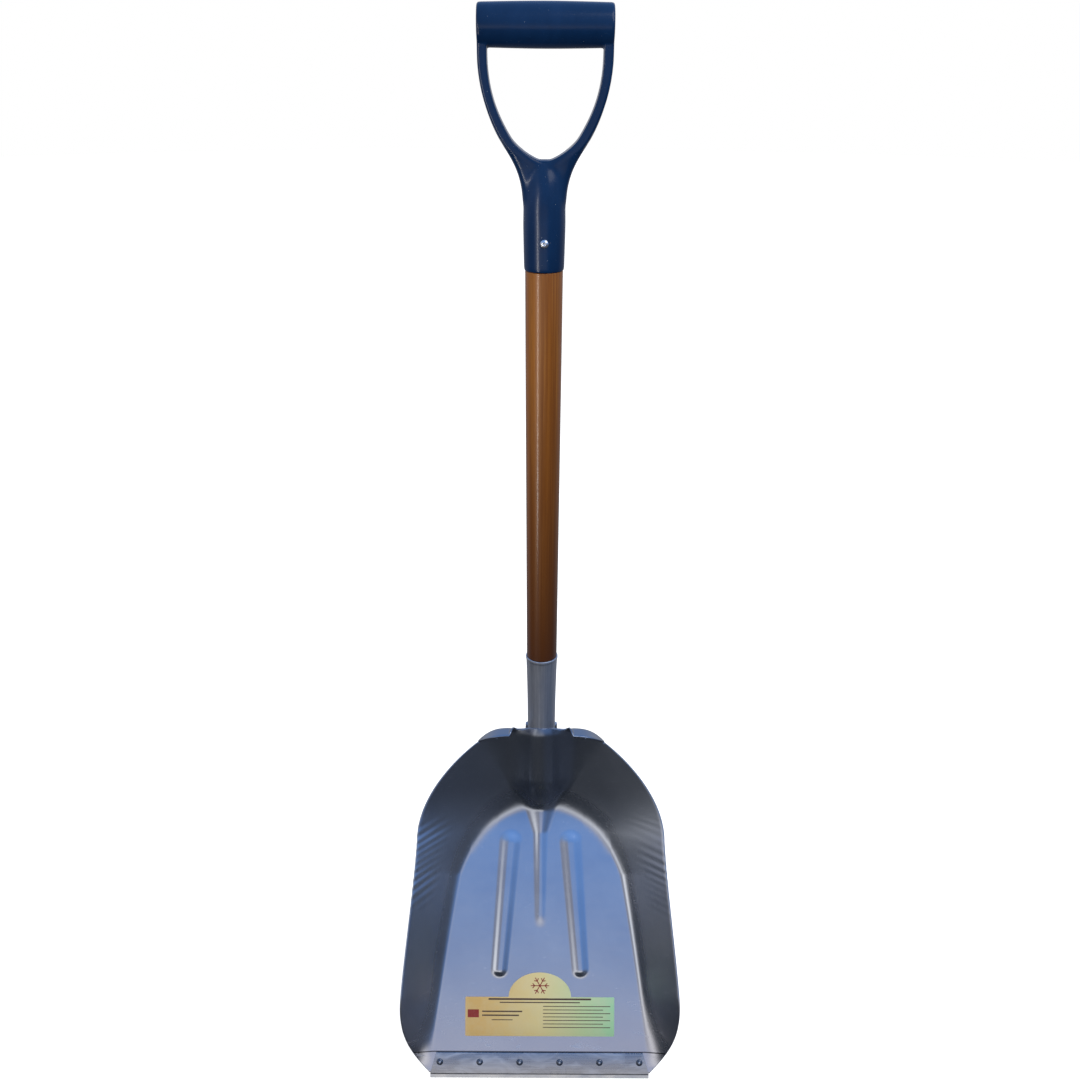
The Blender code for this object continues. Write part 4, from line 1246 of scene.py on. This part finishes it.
def make_world():
    """Pale all round for the eye and soft for diffuse light.

    Reflections see dark ground, a bright horizon and blue sky, which change from left to right.
    """
    world = bpy.data.worlds.new("studio_sky")
    bpy.context.scene.world = world
    world.use_nodes = True
    tree = world.node_tree
    background = tree.nodes["Background"]

    def node(kind):
        return tree.nodes.new(kind)

    direction = node("ShaderNodeTexCoord").outputs["Generated"]
    split = node("ShaderNodeSeparateXYZ")
    tree.links.new(direction, split.inputs[0])

    def sky(stops):
        level = node("ShaderNodeMapRange")
        level.inputs["From Min"].default_value = -1
        level.inputs["From Max"].default_value = 1
        tree.links.new(split.outputs["Z"], level.inputs["Value"])
        colours = node("ShaderNodeValToRGB")
        elements = colours.color_ramp.elements
        elements.remove(elements[1])
        for index, (height, colour) in enumerate(stops):
            position = (math.sin(math.radians(height)) + 1) / 2
            element = elements.new(position) if index else elements[0]
            element.position = position
            element.color = (*(c / SKY_STRENGTH for c in colour), 1)
        tree.links.new(level.outputs["Result"], colours.inputs["Fac"])
        return colours.outputs["Color"]

    ground = (0.034, 0.04, 0.051)
    zenith = (0.2, 0.4, 0.82)
    far_left = sky(
        [
            (-24, ground),
            (-10, (0.18, 0.18, 0.2)),
            (0, (0.42, 0.41, 0.45)),
            (12, (0.4, 0.45, 0.6)),
            (50, zenith),
        ]
    )
    bright_left = sky(
        [
            (-26, ground),
            (-17, (0.4, 0.39, 0.38)),
            (-10, (1.2, 1.17, 1.14)),
            (3, (1.2, 1.17, 1.14)),
            (11, (0.9, 0.95, 1.05)),
            (20, (0.5, 0.6, 0.85)),
            (50, zenith),
        ]
    )
    near_left = sky(
        [
            (-22, ground),
            (-13, (1.05, 1.02, 1.0)),
            (-7, (0.42, 0.42, 0.46)),
            (-1, (0.27, 0.27, 0.31)),
            (8, (0.27, 0.31, 0.42)),
            (18, (0.2, 0.34, 0.62)),
            (50, zenith),
        ]
    )
    centre = sky(
        [
            (-22, ground),
            (-12, (1.0, 0.98, 0.96)),
            (-6, (0.54, 0.54, 0.6)),
            (-1, (0.42, 0.45, 0.57)),
            (5, (0.24, 0.37, 0.64)),
            (12, (0.16, 0.33, 0.7)),
            (50, zenith),
        ]
    )
    right = sky(
        [
            (-25, (0.07, 0.08, 0.105)),
            (-14, (0.08, 0.1, 0.14)),
            (-5, (0.14, 0.22, 0.4)),
            (5, (0.17, 0.34, 0.7)),
            (50, zenith),
        ]
    )
    ambient = sky(
        [
            (-30, (0.05, 0.055, 0.07)),
            (-2, (0.22, 0.23, 0.25)),
            (20, (0.62, 0.63, 0.65)),
            (50, (0.7, 0.71, 0.73)),
        ]
    )

    behind = sky(
        [
            (-60, (0.1, 0.107, 0.125)),
            (-10, (0.3, 0.32, 0.37)),
            (5, (0.6, 0.62, 0.68)),
            (50, zenith),
        ]
    )

    def blend(start, end, before, after, axis="X"):
        """One sky below start on the axis, the other above end."""
        side = node("ShaderNodeMapRange")
        side.interpolation_type = "SMOOTHSTEP"
        side.inputs["From Min"].default_value = start
        side.inputs["From Max"].default_value = end
        tree.links.new(split.outputs[axis], side.inputs["Value"])
        mixed = node("ShaderNodeMix")
        mixed.data_type = "RGBA"
        tree.links.new(side.outputs["Result"], mixed.inputs["Factor"])
        tree.links.new(before, mixed.inputs[6])
        tree.links.new(after, mixed.inputs[7])
        return mixed.outputs[2]

    mirrored = blend(-0.84, -0.72, far_left, bright_left)
    mirrored = blend(-0.68, -0.52, mirrored, near_left)
    mirrored = blend(-0.3, -0.1, mirrored, centre)
    mirrored = blend(0.1, 0.45, mirrored, right)
    mirrored = blend(0, 0.35, mirrored, behind, "Y")

    paths = node("ShaderNodeLightPath")

    def choose(ray, otherwise, chosen):
        picked = node("ShaderNodeMix")
        picked.data_type = "RGBA"
        tree.links.new(paths.outputs[ray], picked.inputs["Factor"])
        for value, socket in ((otherwise, picked.inputs[6]), (chosen, picked.inputs[7])):
            if isinstance(value, bpy.types.NodeSocket):
                tree.links.new(value, socket)
            else:
                socket.default_value = (*(c / SKY_STRENGTH for c in value), 1)
        return picked.outputs[2]

    shown = choose("Is Camera Ray", ambient, (1, 1, 1))
    shown = choose("Is Glossy Ray", shown, mirrored)
    tree.links.new(shown, background.inputs["Color"])
    background.inputs["Strength"].default_value = SKY_STRENGTH


def area_light(name, location, target, size, energy, colour):
    light = bpy.data.lights.new(name, "AREA")
    light.shape = "RECTANGLE"
    light.size, light.size_y = size
    light.energy = energy
    light.color = colour
    holder = bpy.data.objects.new(name, light)
    bpy.context.scene.collection.objects.link(holder)
    aim = Vector(target) - Vector(location)
    holder.location = location
    holder.rotation_euler = aim.to_track_quat("-Z", "Y").to_euler()
    holder.visible_camera = False
    return holder


def make_lights():
    strip = area_light(
        "strip_left", (-0.68, -0.8, 0.62), (0, 0.13, 0.62), (0.1, 1.15), 5.5, (1, 0.97, 0.93)
    )
    handle_only = bpy.data.collections.new("strip_receivers")
    for name in ("moulded_grip", "shaft_ash", "grip_rivet_head"):
        handle_only.objects.link(bpy.data.objects[name])
    strip.light_linking.receiver_collection = handle_only
    area_light("top_soft", (1.1, -0.8, 2.3), (0, 0.1, 0.5), (1.4, 1.4), 16, (1, 1, 1))
    back = area_light("back_soft", (0.4, 2.2, 1.9), (0, 0.1, 0.6), (1.5, 1.5), 10, (0.97, 0.98, 1))
    back.visible_glossy = False


def make_camera():
    data = bpy.data.cameras.new("camera")
    data.sensor_width = 36
    data.lens = LENS
    camera = bpy.data.objects.new("camera", data)
    bpy.context.scene.collection.objects.link(camera)
    pitch = Matrix.Rotation(math.pi / 2 - PITCH, 4, "X")
    roll = Matrix.Rotation(ROLL, 4, "Z")
    spot = HANDLE @ Matrix.Translation(CAMERA_OFFSET)
    camera.matrix_world = spot @ pitch @ roll
    bpy.context.scene.camera = camera


make_blade()
make_wear_strip()
make_strip_rivets()
make_label()
make_shaft()
make_socket()
make_weld()
make_socket_screw()
make_grip_rivet()
make_grip()
make_stage()
make_world()
make_lights()
make_camera()
bpy.context.scene.view_settings.view_transform = "Standard"
